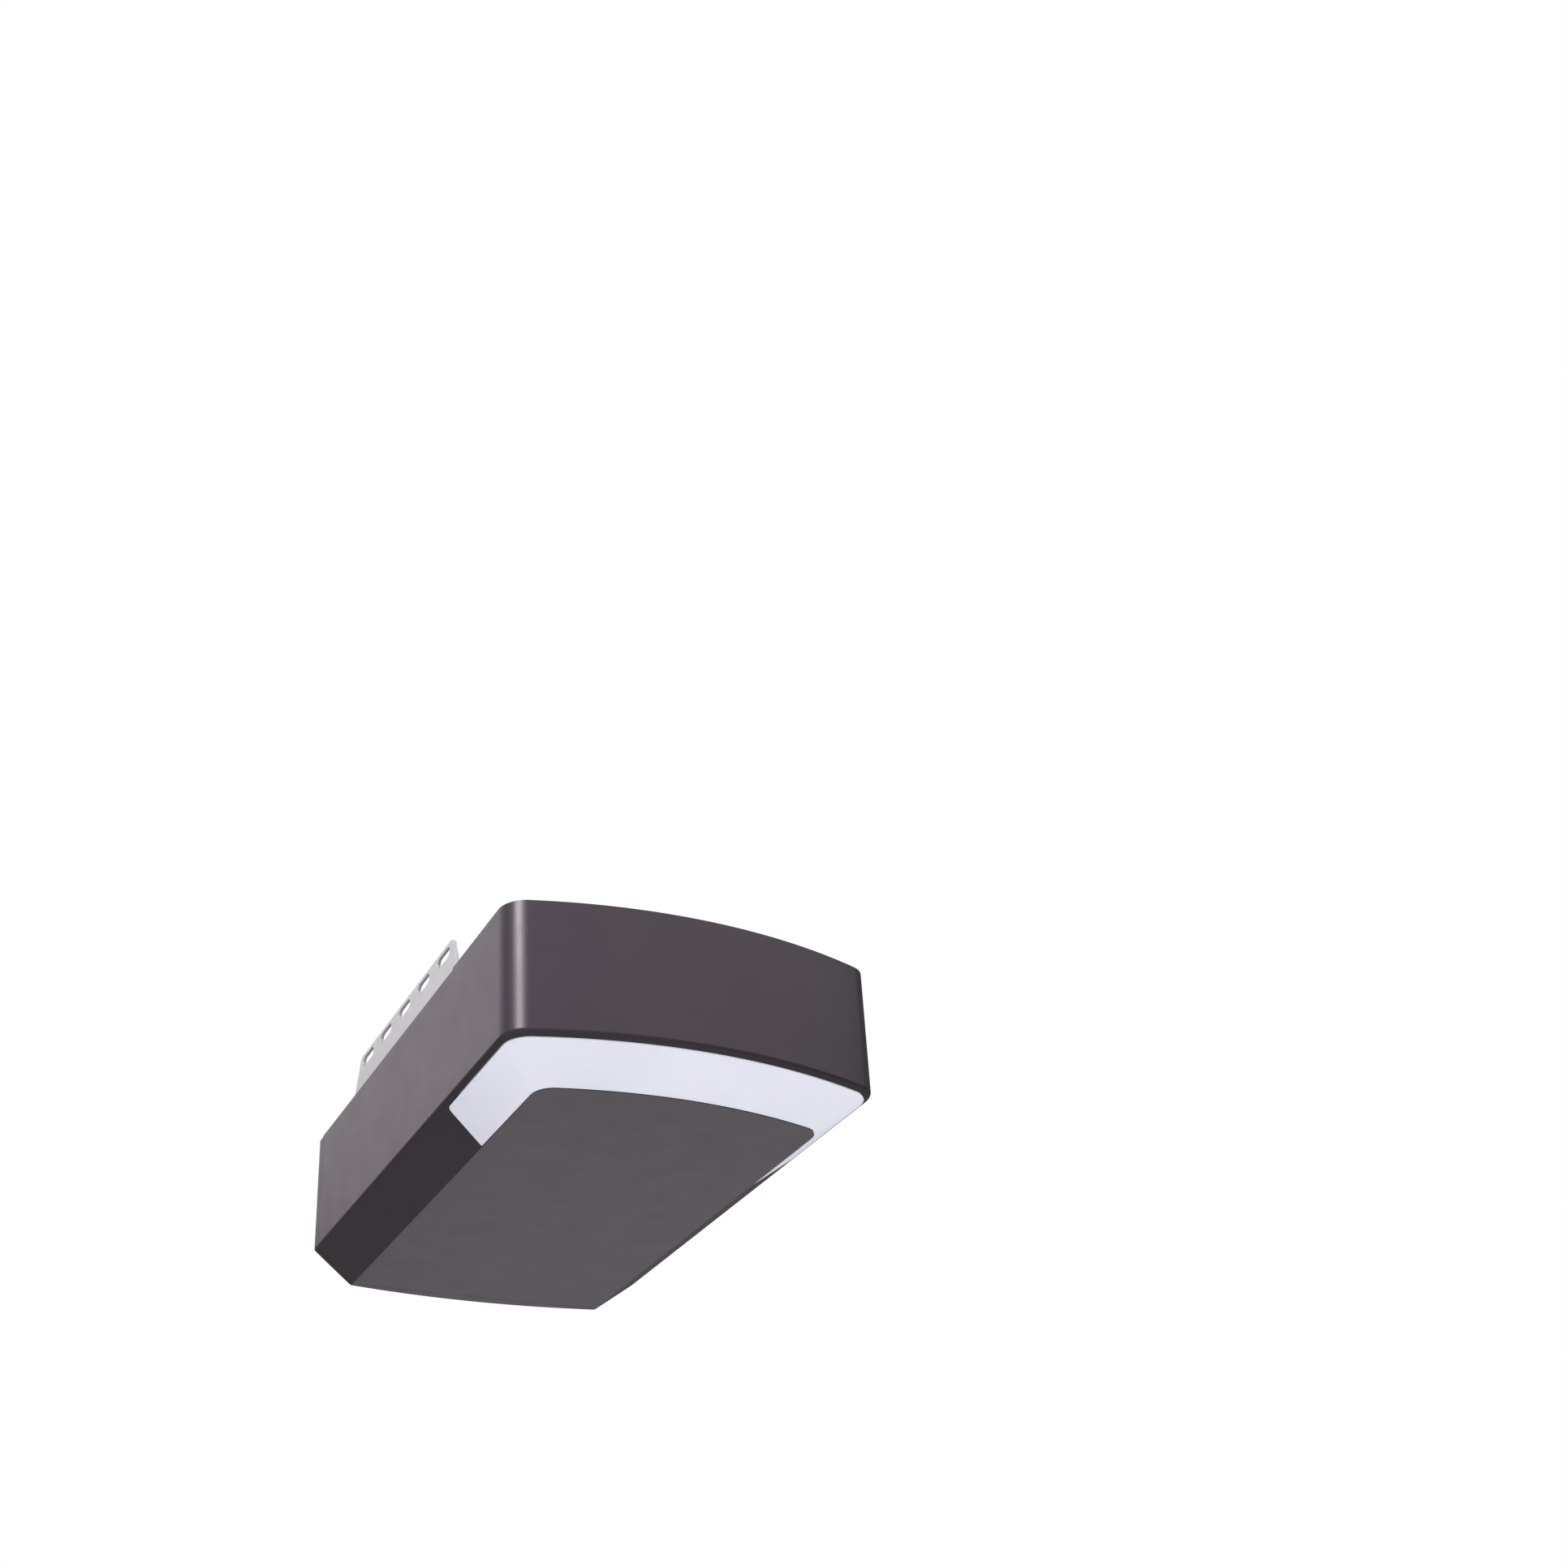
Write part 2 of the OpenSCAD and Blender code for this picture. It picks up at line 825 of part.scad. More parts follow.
module output_circlip() {
    color("#4a4c50")
        difference() {
            rod_z(0, 0, journal_r + 2.4, circlip_z - 0.5, circlip_z + 0.5);
            rod_z(0, 0, circlip_groove_r, circlip_z - 1, circlip_z + 1);
            box([-3, 0, circlip_z - 1], [3, journal_r + 3, circlip_z + 1]);
        }
}

// Radius of the single-start worm across its axis: the thread's crest points away from the wheel.
function worm_radius(a) =
    let (d = abs(a - 180) * pitch / 360)
    d <= crest_half ? worm_tip
    : d >= foot_half ? worm_root
    : worm_tip - (worm_tip - worm_root) * (d - crest_half) / (foot_half - crest_half);

module worm() {
    turns = worm_len / pitch;
    flank = [foot_half, crest_half, 0];
    angles = concat(
        [for (a = [0:20:80]) a],
        [for (d = flank) 180 - d * 360 / pitch],
        [for (i = [1:2]) 180 + flank[2 - i] * 360 / pitch],
        [for (a = [280:20:340]) a]
    );
    color("#8a8c90")
        difference() {
            translate([worm_x, 0, drive_z])
                rotate([-90, 0, 0])
                    rotate([0, 0, 180 * turns])
                        linear_extrude(worm_len, center = true, twist = 360 * turns,
                            slices = ceil(16 * turns), $fn = 12)
                            polygon([
                                for (a = angles) [worm_radius(a) * cos(a), worm_radius(a) * sin(a)]
                            ]);
            rod_y(worm_x, drive_z, rotor_r, -far, far);
        }
}

module worm_bearings() {
    color("#9fa1a5")
        for (y = [-gear_half_y, gear_half_y - bearing_len])
            difference() {
                rod_y(worm_x, drive_z, bearing_r, y, y + bearing_len);
                rod_y(worm_x, drive_z, rotor_r + run_gap, -far, far);
                for (side = [-0.01, bearing_len - 0.8])
                    difference() {
                        rod_y(worm_x, drive_z, 8.6, y + side, y + side + 0.81);
                        rod_y(worm_x, drive_z, 6.2, -far, far);
                    }
            }
}

// Motor

// The two through bolts run in the gaps between the magnets.
module at_through_bolts() {
    for (s = [-18, 18])
        translate([worm_x + s, 0, drive_z + s])
            children();
}

module motor_shaft() {
    color("#9c9ea2")
        rod_y(worm_x, drive_z, rotor_r, -54, can_back + cap_t - 2);
}

module motor_can() {
    color("#7d8085")
        difference() {
            rod_y(worm_x, drive_z, can_r, can_y, can_back);
            rod_y(worm_x, drive_z, can_r - can_wall, can_y + 3, far);
            rod_y(worm_x, drive_z, rotor_r + 4, 0, far);
            at_through_bolts()
                rod_y(0, 0, 2.2, 0, far);
        }
}

module motor_magnets() {
    color("#3a3a3e")
        translate([worm_x, core_y - 4, drive_z])
            rotate([-90, 0, 0])
                for (a = [-15, 165])
                    rotate([0, 0, a])
                        rotate_extrude(angle = 120)
                            translate([magnet_r, 0])
                                square([can_r - can_wall - magnet_r, core_len + 8]);
}

module motor_end_cap() {
    color("#2e2d31")
        difference() {
            union() {
                rod_y(worm_x, drive_z, can_r, can_back, can_back + cap_t);
                rod_y(worm_x, drive_z, can_r - can_wall, can_back - 3, can_back + thin);
                rod_y(worm_x, drive_z, 7.5, can_back - 5, can_back + thin);
                // brush holders
                for (s = [-1, 1])
                    translate([worm_x + s * 15.5, (commutator_y + can_back) / 2, drive_z])
                        cube([11, can_back - commutator_y, 12], center = true);
            }
            rod_y(worm_x, drive_z, rotor_r + run_gap, 0, can_back + cap_t - 1.5);
            at_through_bolts()
                rod_y(0, 0, 2.2, 0, far);
            // brush channels
            for (s = [-1, 1])
                translate([worm_x + s * 15, commutator_y + commutator_len / 2, drive_z])
                    cube([16, 6, 8], center = true);
        }
}

module motor_brushes() {
    color("#2a2a2c")
        for (s = [-1, 1])
            translate([worm_x + s * 14.5, commutator_y + commutator_len / 2, drive_z])
                cube([10, 5.6, 7.6], center = true);
}

module motor_through_bolts() {
    color("#8f8e92")
        at_through_bolts() {
            rod_y(0, 0, 2, gear_half_y - 9, can_back + cap_t + thin);
            rod_y(0, 0, 3.6, can_back + cap_t, can_back + cap_t + 2.5);
        }
}

module armature_core() {
    color("#606367")
        difference() {
            rod_y(worm_x, drive_z, armature_r, core_y, core_y + core_len);
            rod_y(worm_x, drive_z, rotor_r, 0, far);
            for (i = [0:coil_slots - 1])
                translate([worm_x, 0, drive_z])
                    rotate([0, i * 360 / coil_slots, 0])
                        translate([coil_ring_r, 0, 0]) {
                            rod_y(0, 0, 2.4, core_y - 1, core_y + core_len + 1);
                            box([0, core_y - 1, -0.6], [far, core_y + core_len + 1, 0.6]);
                        }
        }
}

module armature_winding() {
    color("#b4693a") {
        for (y = [core_y - 7, core_y + core_len])
            difference() {
                rod_y(worm_x, drive_z, 18.5, y, y + 7);
                rod_y(worm_x, drive_z, 7, 0, far);
            }
        for (i = [0:coil_slots - 1])
            translate([worm_x, 0, drive_z])
                rotate([0, i * 360 / coil_slots, 0])
                    rod_y(coil_ring_r, 0, 2.3, core_y - 1, core_y + core_len + 1);
    }
}

module commutator() {
    bars = 12;
    color("#c07a45")
        difference() {
            rod_y(worm_x, drive_z, commutator_r, commutator_y - 1, commutator_y + commutator_len);
            rod_y(worm_x, drive_z, rotor_r, 0, far);
            for (i = [0:bars - 1])
                translate([worm_x, 0, drive_z])
                    rotate([0, (i + 0.5) * 360 / bars, 0])
                        box([commutator_r - 1, 0, -0.3], [far, far, 0.3]);
        }
}

module encoder_magnet() {
    color("#39393d")
        difference() {
            rod_y(worm_x, drive_z, 9, -53, -47);
            rod_y(worm_x, drive_z, rotor_r, -far, 0);
        }
}

module encoder_board() {
    color("#2f6b45") {
        box([worm_x - 14, -46, drive_z - 22], [worm_x + 14, -44, drive_z - 14]);
        box([worm_x - 14, -58, drive_z - 22], [worm_x + 14, -56.4, drive_z + 12]);
        box([worm_x - 14, -56.5, drive_z - 22], [worm_x + 14, -45, drive_z - 18]);
        box([worm_x - 3, -56.5, drive_z - 2], [worm_x + 3, -54.8, drive_z + 4]);
    }
}

// Transformer

module transformer_core() {
    color("#5a5d61")
        translate(coil_pos)
            difference() {
                cube([core_w, core_t, core_h], center = true);
                for (s = [-1, 1])
                    translate([s * (limb_w + window_w) / 2, 0, 0])
                        cube([window_w, core_t + 2, window_h], center = true);
            }
}

module transformer_winding() {
    color("#c9a23c")
        translate(coil_pos)
            difference() {
                cube([limb_w + 2 * window_w - 0.8, core_t + 22, window_h - 1], center = true);
                cube([limb_w + 0.4, core_t + 0.4, core_h], center = true);
            }
}

module transformer_bracket() {
    half = core_w / 2;
    low = coil_pos[2] - core_h / 2;
    color("#bdbcbe")
        translate([coil_pos[0], coil_pos[1], 0])
            difference() {
                union() {
                    box([-half - 1.5, -10, low - 1.5], [half + 1.5, 10, -sheet]);
                    box([-half - 16, -10, -sheet - 1.5], [half + 16, 10, -sheet]);
                }
                box([-half, -11, low], [half, 11, 0]);
                for (s = [-1, 1])
                    rod_z(s * coil_foot_x, 0, 2, -10, 0);
            }
}

module chassis_screws() {
    color("#8f8e92") {
        both_sides()
            screw(board_hole_x, board_hole_y, 0, 2, 4.5, 4, 2.4);
        for (s = [-1, 1])
            screw(coil_pos[0] + s * coil_foot_x, coil_pos[1], 0, 2, 4.5, 4, 2.4);
    }
}

// Control end

module control_board() {
    color("#2f6b45")
        difference() {
            box([-board_w / 2, board_y, board_top - board_h], [board_w / 2, board_y + board_t, board_top]);
            both_sides()
                for (z = board_hole_z)
                    rod_y(board_hole_x, z, 1.7, 0, far);
        }
}

module board_brackets() {
    color("#bdbcbe")
        both_sides()
            difference() {
                union() {
                    box([board_hole_x - 7, board_y - 20, -sheet - 1.5],
                        [board_hole_x + 7, board_y, -sheet]);
                    box([board_hole_x - 7, board_y - 1.5, board_top - 28],
                        [board_hole_x + 7, board_y, -sheet]);
                }
                rod_z(board_hole_x, board_hole_y, 2, -10, 0);
                for (z = board_hole_z)
                    rod_y(board_hole_x, z, 1.5, 0, far);
            }
}

module board_screws() {
    color("#8f8e92")
        both_sides()
            for (z = board_hole_z) {
                rod_y(board_hole_x, z, 1.5, board_y - 4, board_y + board_t + thin);
                rod_y(board_hole_x, z, 3, board_y + board_t, board_y + board_t + 2);
            }
}

module relays() {
    color("#2456a0")
        for (i = [0:2])
            box([-60 + 22 * i, board_y - 15, -52], [-41 + 22 * i, board_y, -37]);
}

module capacitors() {
    color("#26242a")
        for (x = [24, 46])
            rod_y(x, -60, 9, board_y - 28, board_y);
}

module terminal_block() {
    step = (terminal_x[1] - terminal_x[0]) / terminal_ways;
    color("#3d8f4e")
        difference() {
            box([terminal_x[0], board_y + board_t, terminal_z[0]],
                [terminal_x[1], rear_y, terminal_z[1]]);
            for (i = [0:terminal_ways - 1])
                translate([terminal_x[0] + (i + 0.5) * step, 0, 0]) {
                    rod_y(0, terminal_z[0] + 4.5, 1.5, rear_y - 9, far);
                    rod_y(0, terminal_z[1] - 3, 1.2, rear_y - 4, far);
                }
        }
}

module display_module() {
    color("#1c1c1f")
        box([display_x[0] + 2, board_y + board_t, display_z[0] + 2],
            [display_x[1] - 2, panel_face - 5, display_z[1] - 2]);
}

module button_switches() {
    color("#202023")
        for (i = [0:2])
            difference() {
                box([button_x + i * button_pitch - 6, board_y + board_t, button_z - 6],
                    [button_x + i * button_pitch + 6, board_y + board_t + 8.4, button_z + 6]);
                rod_y(button_x + i * button_pitch, button_z, 2.15, stem_y - button_travel - 1, far);
            }
}

module control_panel() {
    wall = 2;
    color("#4a444b")
        difference() {
            intersection() {
                body_form(0, -1);
                box([panel_x[0], panel_face - panel_t, panel_z[0]], [panel_x[1], far, panel_z[1]]);
            }
            box([panel_x[0] + wall, panel_face, panel_z[0] + wall],
                [panel_x[1] - wall, far, panel_z[1] - wall]);
            for (i = [0:2])
                rod_y(button_x + i * button_pitch, button_z, button_d / 2 + 0.3, 0, far);
            box([display_x[0], 0, display_z[0]], [display_x[1], far, display_z[1]]);
        }
}

module display_window() {
    color("#3a1216")
        box([display_x[0] + 0.1, panel_face - panel_t, display_z[0] + 0.1],
            [display_x[1] - 0.1, panel_face + 0.5, display_z[1] - 0.1]);
}

// A round cap that stands out of the panel, with a stop flange and a stem into its switch.
module push_button(i) {
    x = button_x + i * button_pitch;
    translate([x, 0, button_z]) {
        rod_y(0, 0, button_d / 2, flange_y, panel_face + 3);
        rod_y(0, 0, button_d / 2 + 1.4, flange_y, flange_y + 1.8);
        rod_y(0, 0, 2, stem_y, flange_y + thin);
    }
}

module button_up() {
    color("#c9cacc")
        push_button(0);
}

module button_down() {
    color("#c9cacc")
        push_button(1);
}

module button_set() {
    color("#c9463a")
        push_button(2);
}

module both_at_inlet() {
    for (s = [-1, 1])
        translate([inlet_pos[0] + s * 20, 0, inlet_pos[1]])
            children();
}

module mains_inlet() {
    color("#1d1d20")
        translate([inlet_pos[0], 0, inlet_pos[1]]) {
            difference() {
                union() {
                    box([-inlet_half[0], inlet_face, -inlet_half[1]],
                        [inlet_half[0], inlet_face + inlet_t, inlet_half[1]]);
                    box([-socket_half[0], board_y + board_t + 1.5, -socket_half[1]],
                        [socket_half[0], inlet_face + thin, socket_half[1]]);
                }
                box([2 - socket_half[0], inlet_face - 14, 2 - socket_half[1]],
                    [socket_half[0] - 2, far, socket_half[1] - 2]);
                for (s = [-1, 1])
                    rod_y(s * 20, 0, 1.6, 0, far);
            }
            for (p = [[-pin_x, 1.5], [0, -2.5], [pin_x, 1.5]])
                box([p[0] - 1, inlet_face - 14 - thin, p[1] - 2], [p[0] + 1, inlet_face - 2, p[1] + 2]);
        }
}

module inlet_screws() {
    color("#8f8e92")
        both_at_inlet() {
            rod_y(0, 0, 1.5, inlet_face - 5, inlet_face + inlet_t + thin);
            rod_y(0, 0, 2.9, inlet_face + inlet_t, inlet_face + inlet_t + 1.5);
        }
}

hood();
rear_cover();
front_deck();
light_lens();
light_reflector();
led_board_left();
led_board_right();
led_board_front();
chassis_plate();
bracket_left();
bracket_right();
bracket_rivets();
housing_screws();
rail_seat();
rail_clamp_front();
rail_clamp_rear();
rail_clamp_bolts();
gearbox_housing();
gearbox_lid();
gearbox_lid_screws();
gearbox_mount_bolts();
gearbox_dampers();
lower_bush();
upper_bush();
worm_wheel();
output_shaft();
shaft_key();
output_circlip();
worm();
motor_shaft();
worm_bearings();
motor_can();
motor_magnets();
motor_end_cap();
motor_through_bolts();
motor_brushes();
armature_core();
armature_winding();
commutator();
encoder_magnet();
encoder_board();
transformer_core();
transformer_winding();
transformer_bracket();
chassis_screws();
control_board();
board_brackets();
board_screws();
relays();
capacitors();
terminal_block();
display_module();
button_switches();
control_panel();
display_window();
mains_inlet();
inlet_screws();
button_up();
button_down();
button_set();
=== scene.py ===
import json
import math

import bmesh
import bpy
from mathutils import Matrix, Vector


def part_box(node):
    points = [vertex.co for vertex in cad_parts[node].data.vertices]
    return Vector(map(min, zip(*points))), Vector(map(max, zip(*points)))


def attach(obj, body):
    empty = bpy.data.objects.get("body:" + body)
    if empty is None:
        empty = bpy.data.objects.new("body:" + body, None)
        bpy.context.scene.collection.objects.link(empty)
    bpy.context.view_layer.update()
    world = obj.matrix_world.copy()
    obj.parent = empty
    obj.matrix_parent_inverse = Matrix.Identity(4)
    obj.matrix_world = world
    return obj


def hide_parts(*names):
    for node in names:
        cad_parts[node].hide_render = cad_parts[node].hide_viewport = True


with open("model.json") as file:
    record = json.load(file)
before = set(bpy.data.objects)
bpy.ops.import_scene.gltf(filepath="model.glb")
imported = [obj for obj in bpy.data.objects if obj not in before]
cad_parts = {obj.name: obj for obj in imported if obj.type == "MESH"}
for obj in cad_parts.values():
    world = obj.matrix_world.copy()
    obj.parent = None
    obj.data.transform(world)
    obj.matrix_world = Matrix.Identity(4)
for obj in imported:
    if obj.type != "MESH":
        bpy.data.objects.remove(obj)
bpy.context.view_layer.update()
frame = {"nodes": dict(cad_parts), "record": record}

MM = 0.001

# -------- housing sizes, in millimetres
HALF_W = 125.0
SIDE_LEN = 364.0
FRONT_Y = -150.0
REAR_Y = FRONT_Y + SIDE_LEN
WALL_H = 84.0
BEVEL_H = 20.5
BEVEL_SIDE = 30.0
BEVEL_FRONT = 25.5
FRONT_BOW = 21.5
BOTTOM_BOW = 13.7
REAR_BOW = 14.0
CORNER_R = 18.0
BOTTOM_CORNER_R = 14.0
FLARE = 1.7
SKIN = 2.5
LIP_H = 1.5
STEP_Y = -62.0
FLOOR_Z = -WALL_H - BEVEL_H
SEAM_Y = REAR_Y - 9.0
SEAM_SLANT = 12.0
SEAM_GAP = 0.3
FOOT_ROUND = 2.6
FLOOR_ROUND = 1.3
LENS_EDGE_ROUND = 0.35
LENS_GAP = 0.55
LENS_ARM = 105.0
LENS_CUT = 0.35
LENS_RIM = 0.115
CUT_Y = FRONT_Y + LENS_ARM - LENS_RIM * BEVEL_SIDE * LENS_CUT
SHEET = 2.0
CHASSIS_HALF = 121.8

# -------- materials


class Nodes:
    """A material's node tree with short calls for the nodes that the materials share."""

    def __init__(self, name):
        self.material = bpy.data.materials.new(name)
        self.material.use_nodes = True
        self.tree = self.material.node_tree
        self.shader = self.tree.nodes["Principled BSDF"]
        self.coords = self.add("ShaderNodeTexCoord").outputs["Object"]

    def add(self, kind, **values):
        node = self.tree.nodes.new(kind)
        for key, value in values.items():
            setattr(node, key, value)
        return node

    def feed(self, socket, value):
        """Links a node's output to a socket, or sets the socket's value."""
        if hasattr(value, "node"):
            self.tree.links.new(value, socket)
        else:
            socket.default_value = value

    def set(self, **values):
        for key, value in values.items():
            self.feed(self.shader.inputs[key.replace("_", " ")], value)

    def output(self, kind, output, inputs, **values):
        """The named output of a new node whose inputs and properties are given."""
        node = self.add(kind, **values)
        for key, value in inputs.items():
            self.feed(node.inputs[key], value)
        return node.outputs[output]

    def texture(self, kind, output, inputs, vector=None, **values):
        return self.output(kind, output, {"Vector": vector or self.coords, **inputs}, **values)

    def mapped(self, socket, value):
        """Object coordinates with one input of a Mapping node set."""
        return self.texture("ShaderNodeMapping", "Vector", {socket: value})

    def noise(self, scale, detail=3.0, rough=0.5, vector=None):
        inputs = {"Scale": scale, "Detail": detail, "Roughness": rough}
        return self.texture("ShaderNodeTexNoise", "Fac", inputs, vector)

    def span(self, fac, low, high, start=0.0, end=1.0):
        inputs = {"Value": fac, "From Min": start, "From Max": end, "To Min": low, "To Max": high}
        return self.output("ShaderNodeMapRange", "Result", inputs)

    def math(self, operation, a, b):
        return self.output("ShaderNodeMath", 0, {0: a, 1: b}, operation=operation)

    def colours(self, fac, *stops):
        node = self.add("ShaderNodeValToRGB")
        ramp = node.color_ramp
        while len(ramp.elements) < len(stops):
            ramp.elements.new(0.5)
        for element, (place, colour) in zip(ramp.elements, stops):
            element.position = place
            element.color = (*colour, 1.0)
        self.feed(node.inputs["Fac"], fac)
        return node.outputs["Color"]

    def bump(self, height, depth, under=None):
        """A bump whose height 0..1 stands for a real depth in millimetres."""
        inputs = {"Strength": 1.0, "Distance": depth * MM, "Height": height}
        if under is not None:
            inputs["Normal"] = under
        return self.output("ShaderNodeBump", "Normal", inputs)


def tint(colour, factor):
    """The colour made darker or lighter."""
    return tuple(min(1.0, c * factor) for c in colour)


def plastic(name, colour, roughness, grain, grain_scale=1400, vary=0.06):
    """Moulded plastic: fine spark-eroded grain, slight cloudiness of colour and gloss."""
    n = Nodes(name)
    cloud = n.noise(9.0, 4.0, 0.55)
    speck = n.noise(grain_scale, 2.0, 0.6)
    tone = n.math("ADD", n.math("MULTIPLY", cloud, 0.7), n.math("MULTIPLY", speck, 0.3))
    n.set(
        Base_Color=n.colours(tone, (0.30, tint(colour, 1 - vary)), (0.70, tint(colour, 1 + vary))),
        Roughness=n.span(n.noise(38.0, 5.0, 0.6), roughness - 0.025, roughness + 0.025, 0.3, 0.7),
    )
    fine = n.bump(speck, grain)
    n.set(Normal=n.bump(n.noise(16.0, 2.0, 0.4), 0.012, fine))
    return n


def metal(name, colour, roughness, streak=None, depth=0.004, metallic=1.0):
    """Machined or plated metal, with fine directional streaks where streak gives their scale."""
    n = Nodes(name)
    vector = n.mapped("Scale", streak) if streak else None
    lines = n.noise(1.0 if streak else 260.0, 4.0, 0.6, vector)
    stain = n.noise(34.0, 5.0, 0.6)
    tone = n.math("ADD", n.math("MULTIPLY", lines, 0.5), n.math("MULTIPLY", stain, 0.5))
    n.set(
        Base_Color=n.colours(tone, (0.32, tint(colour, 0.92)), (0.68, tint(colour, 1.08))),
        Metallic=metallic,
        Roughness=n.span(tone, roughness - 0.07, roughness + 0.09, 0.3, 0.7),
        Normal=n.bump(lines, depth),
    )
    return n


def galvanised(name, colour, roughness):
    """Zinc-coated sheet: large soft spangles, rolling streaks and dull patches."""
    n = Nodes(name)
    flakes = n.texture("ShaderNodeTexVoronoi", "Color", {"Scale": 150.0})
    grey = n.output("ShaderNodeRGBToBW", 0, {"Color": flakes})
    cloud = n.noise(14.0, 4.0, 0.6)
    roll = n.noise(1.0, 3.0, 0.6, n.mapped("Scale", (1800.0, 60.0, 1800.0)))
    tone = n.math("ADD", n.math("MULTIPLY", grey, 0.45), n.math("MULTIPLY", cloud, 0.55))
    n.set(
        Base_Color=n.colours(tone, (0.25, tint(colour, 0.95)), (0.75, tint(colour, 1.05))),
        Metallic=0.85,
        Roughness=n.span(tone, roughness - 0.05, roughness + 0.07, 0.25, 0.75),
        Normal=n.bump(roll, 0.006),
    )
    return n


def wound(name, colour, gap, roughness, pitch, direction):
    """Enamelled copper wire: rounded turns side by side, with painted shade in the grooves between the turns
    and a painted highlight along their crests.
    """
    n = Nodes(name)
    inputs = {"Scale": pitch, "Distortion": 0.4}
    turns = n.texture("ShaderNodeTexWave", "Fac", inputs, bands_direction=direction)
    # the gap colour is painted shade in the grooves between the turns, and the colour made 1.25 times
    # lighter at the crests is a painted highlight
    n.set(
        Base_Color=n.colours(turns, (0.0, gap), (0.35, colour), (1.0, tint(colour, 1.25))),
        Metallic=0.85,
        Roughness=n.span(n.noise(300.0), roughness - 0.06, roughness + 0.08, 0.3, 0.7),
        Coat_Weight=0.4,
        Coat_Roughness=0.2,
        Normal=n.bump(turns, 0.25),
    )
    return n


def circuit(name, mask, track):
    """A solder-masked board with its tracks under the mask."""
    n = Nodes(name)
    turned = n.mapped("Rotation", (math.pi / 2, 0, 0))
    black, white = (0, 0, 0, 1), (1, 1, 1, 1)
    inputs = {"Scale": 95.0, "Mortar Size": 0.10, "Color1": black, "Color2": black, "Mortar": white}
    runs = n.texture("ShaderNodeTexBrick", "Color", inputs, turned)
    n.set(
        Base_Color=n.colours(runs, (0.0, mask), (1.0, track)),
        Roughness=n.span(n.noise(220.0), 0.22, 0.34, 0.3, 0.7),
        Coat_Weight=0.5,
        Normal=n.bump(runs, 0.035),
    )
    return n


HOUSING = (0.049, 0.040, 0.050)

MATERIAL_FACTS = {
    "housing_plastic": (plastic, HOUSING, 0.38, 0.055, 1150, 0.06),
    "lens_plastic": (plastic, (0.80, 0.81, 0.88), 0.38, 0.006, 900, 0.012),
    "white_plastic": (plastic, (0.80, 0.80, 0.79), 0.35, 0.008),
    "led_board": (circuit, (0.80, 0.80, 0.76), (0.70, 0.70, 0.66)),
    "galvanised": (galvanised, (0.60, 0.615, 0.61), 0.45),
    "zinc_fastener": (metal, (0.62, 0.62, 0.63), 0.30),
    "black_screw": (metal, (0.045, 0.045, 0.05), 0.36, None, 0.004, 0.7),
    "cast_alloy": (metal, (0.50, 0.51, 0.52), 0.50, None, 0.06),
    "damper_rubber": (plastic, (0.020, 0.020, 0.022), 0.72, 0.03, 900),
    "bronze": (metal, (0.60, 0.40, 0.16), 0.42, None, 0.012),
    "gear_nylon": (plastic, (0.78, 0.74, 0.60), 0.42, 0.010),
    "steel": (metal, (0.50, 0.51, 0.52), 0.26, (900.0, 900.0, 40.0)),
    "can_steel": (metal, (0.40, 0.41, 0.43), 0.34, (60.0, 1500.0, 60.0)),
    "ferrite": (plastic, (0.030, 0.030, 0.034), 0.60, 0.02),
    "black_plastic": (plastic, (0.022, 0.022, 0.025), 0.42, 0.018),
    # the copper's second colour is painted shade for the grooves between its turns
    "copper": (wound, (0.62, 0.27, 0.10), (0.10, 0.03, 0.01), 0.30, 900.0, "Y"),
    "green_board": (circuit, (0.012, 0.11, 0.045), (0.03, 0.19, 0.08)),
    "relay_blue": (plastic, (0.02, 0.10, 0.35), 0.28, 0.010),
    "terminal_green": (plastic, (0.035, 0.24, 0.075), 0.34, 0.012),
    "window_red": (plastic, (0.045, 0.005, 0.007), 0.10, 0.0008, 700, 0.03),
    "button_grey": (plastic, (0.48, 0.48, 0.49), 0.44, 0.014),
    "button_red": (plastic, (0.48, 0.045, 0.03), 0.42, 0.014),
}
MATERIALS = {name: make(name, *facts) for name, (make, *facts) in MATERIAL_FACTS.items()}


def light_the_lens(n):
    """Milky plastic lit from inside: the glow falls off towards the ends of the arms."""
    y = n.texture("ShaderNodeSeparateXYZ", "Y", {})
    along = n.span(y, 0.52, 0.38, FRONT_Y * MM, CUT_Y * MM)
    cloud = n.span(n.noise(22.0, 2.0, 0.4), 0.96, 1.04, 0.3, 0.7)
    n.set(
        Subsurface_Weight=0.25,
        Subsurface_Scale=0.004,
        Emission_Color=(0.86, 0.905, 1.0, 1.0),
        Emission_Strength=n.math("MULTIPLY", along, cloud),
    )


light_the_lens(MATERIALS["lens_plastic"])
MATERIALS["window_red"].set(Coat_Weight=1.0, Coat_Roughness=0.03)

for part in frame["record"]["subparts"]:
    shown = frame["nodes"][part["node"]]
    shown.data.materials.clear()
    shown.data.materials.append(MATERIALS[part["material_slot"]].material)

NODE_SLOT = {part["node"]: part["material_slot"] for part in frame["record"]["subparts"]}
NODE_BODY = {
    node: body for body, nodes in frame["record"]["behaviour"]["bodies"].items() for node in nodes
}

# -------- mesh tools


def add_object(name, data):
    obj = bpy.data.objects.new(name, data)
    bpy.context.scene.collection.objects.link(obj)
    return obj


def filled(loops):
    """A flat mesh that fills an outline with holes in it."""
    flat = bmesh.new()
    edges = []
    for loop in loops:
        verts = [flat.verts.new((u, v, 0)) for u, v in loop]
        edges += [flat.edges.new(pair) for pair in zip(verts, verts[1:] + verts[:1])]
    bmesh.ops.triangle_fill(flat, use_beauty=True, edges=edges, normal=(0, 0, 1))
    flat.verts.index_update()
    return flat


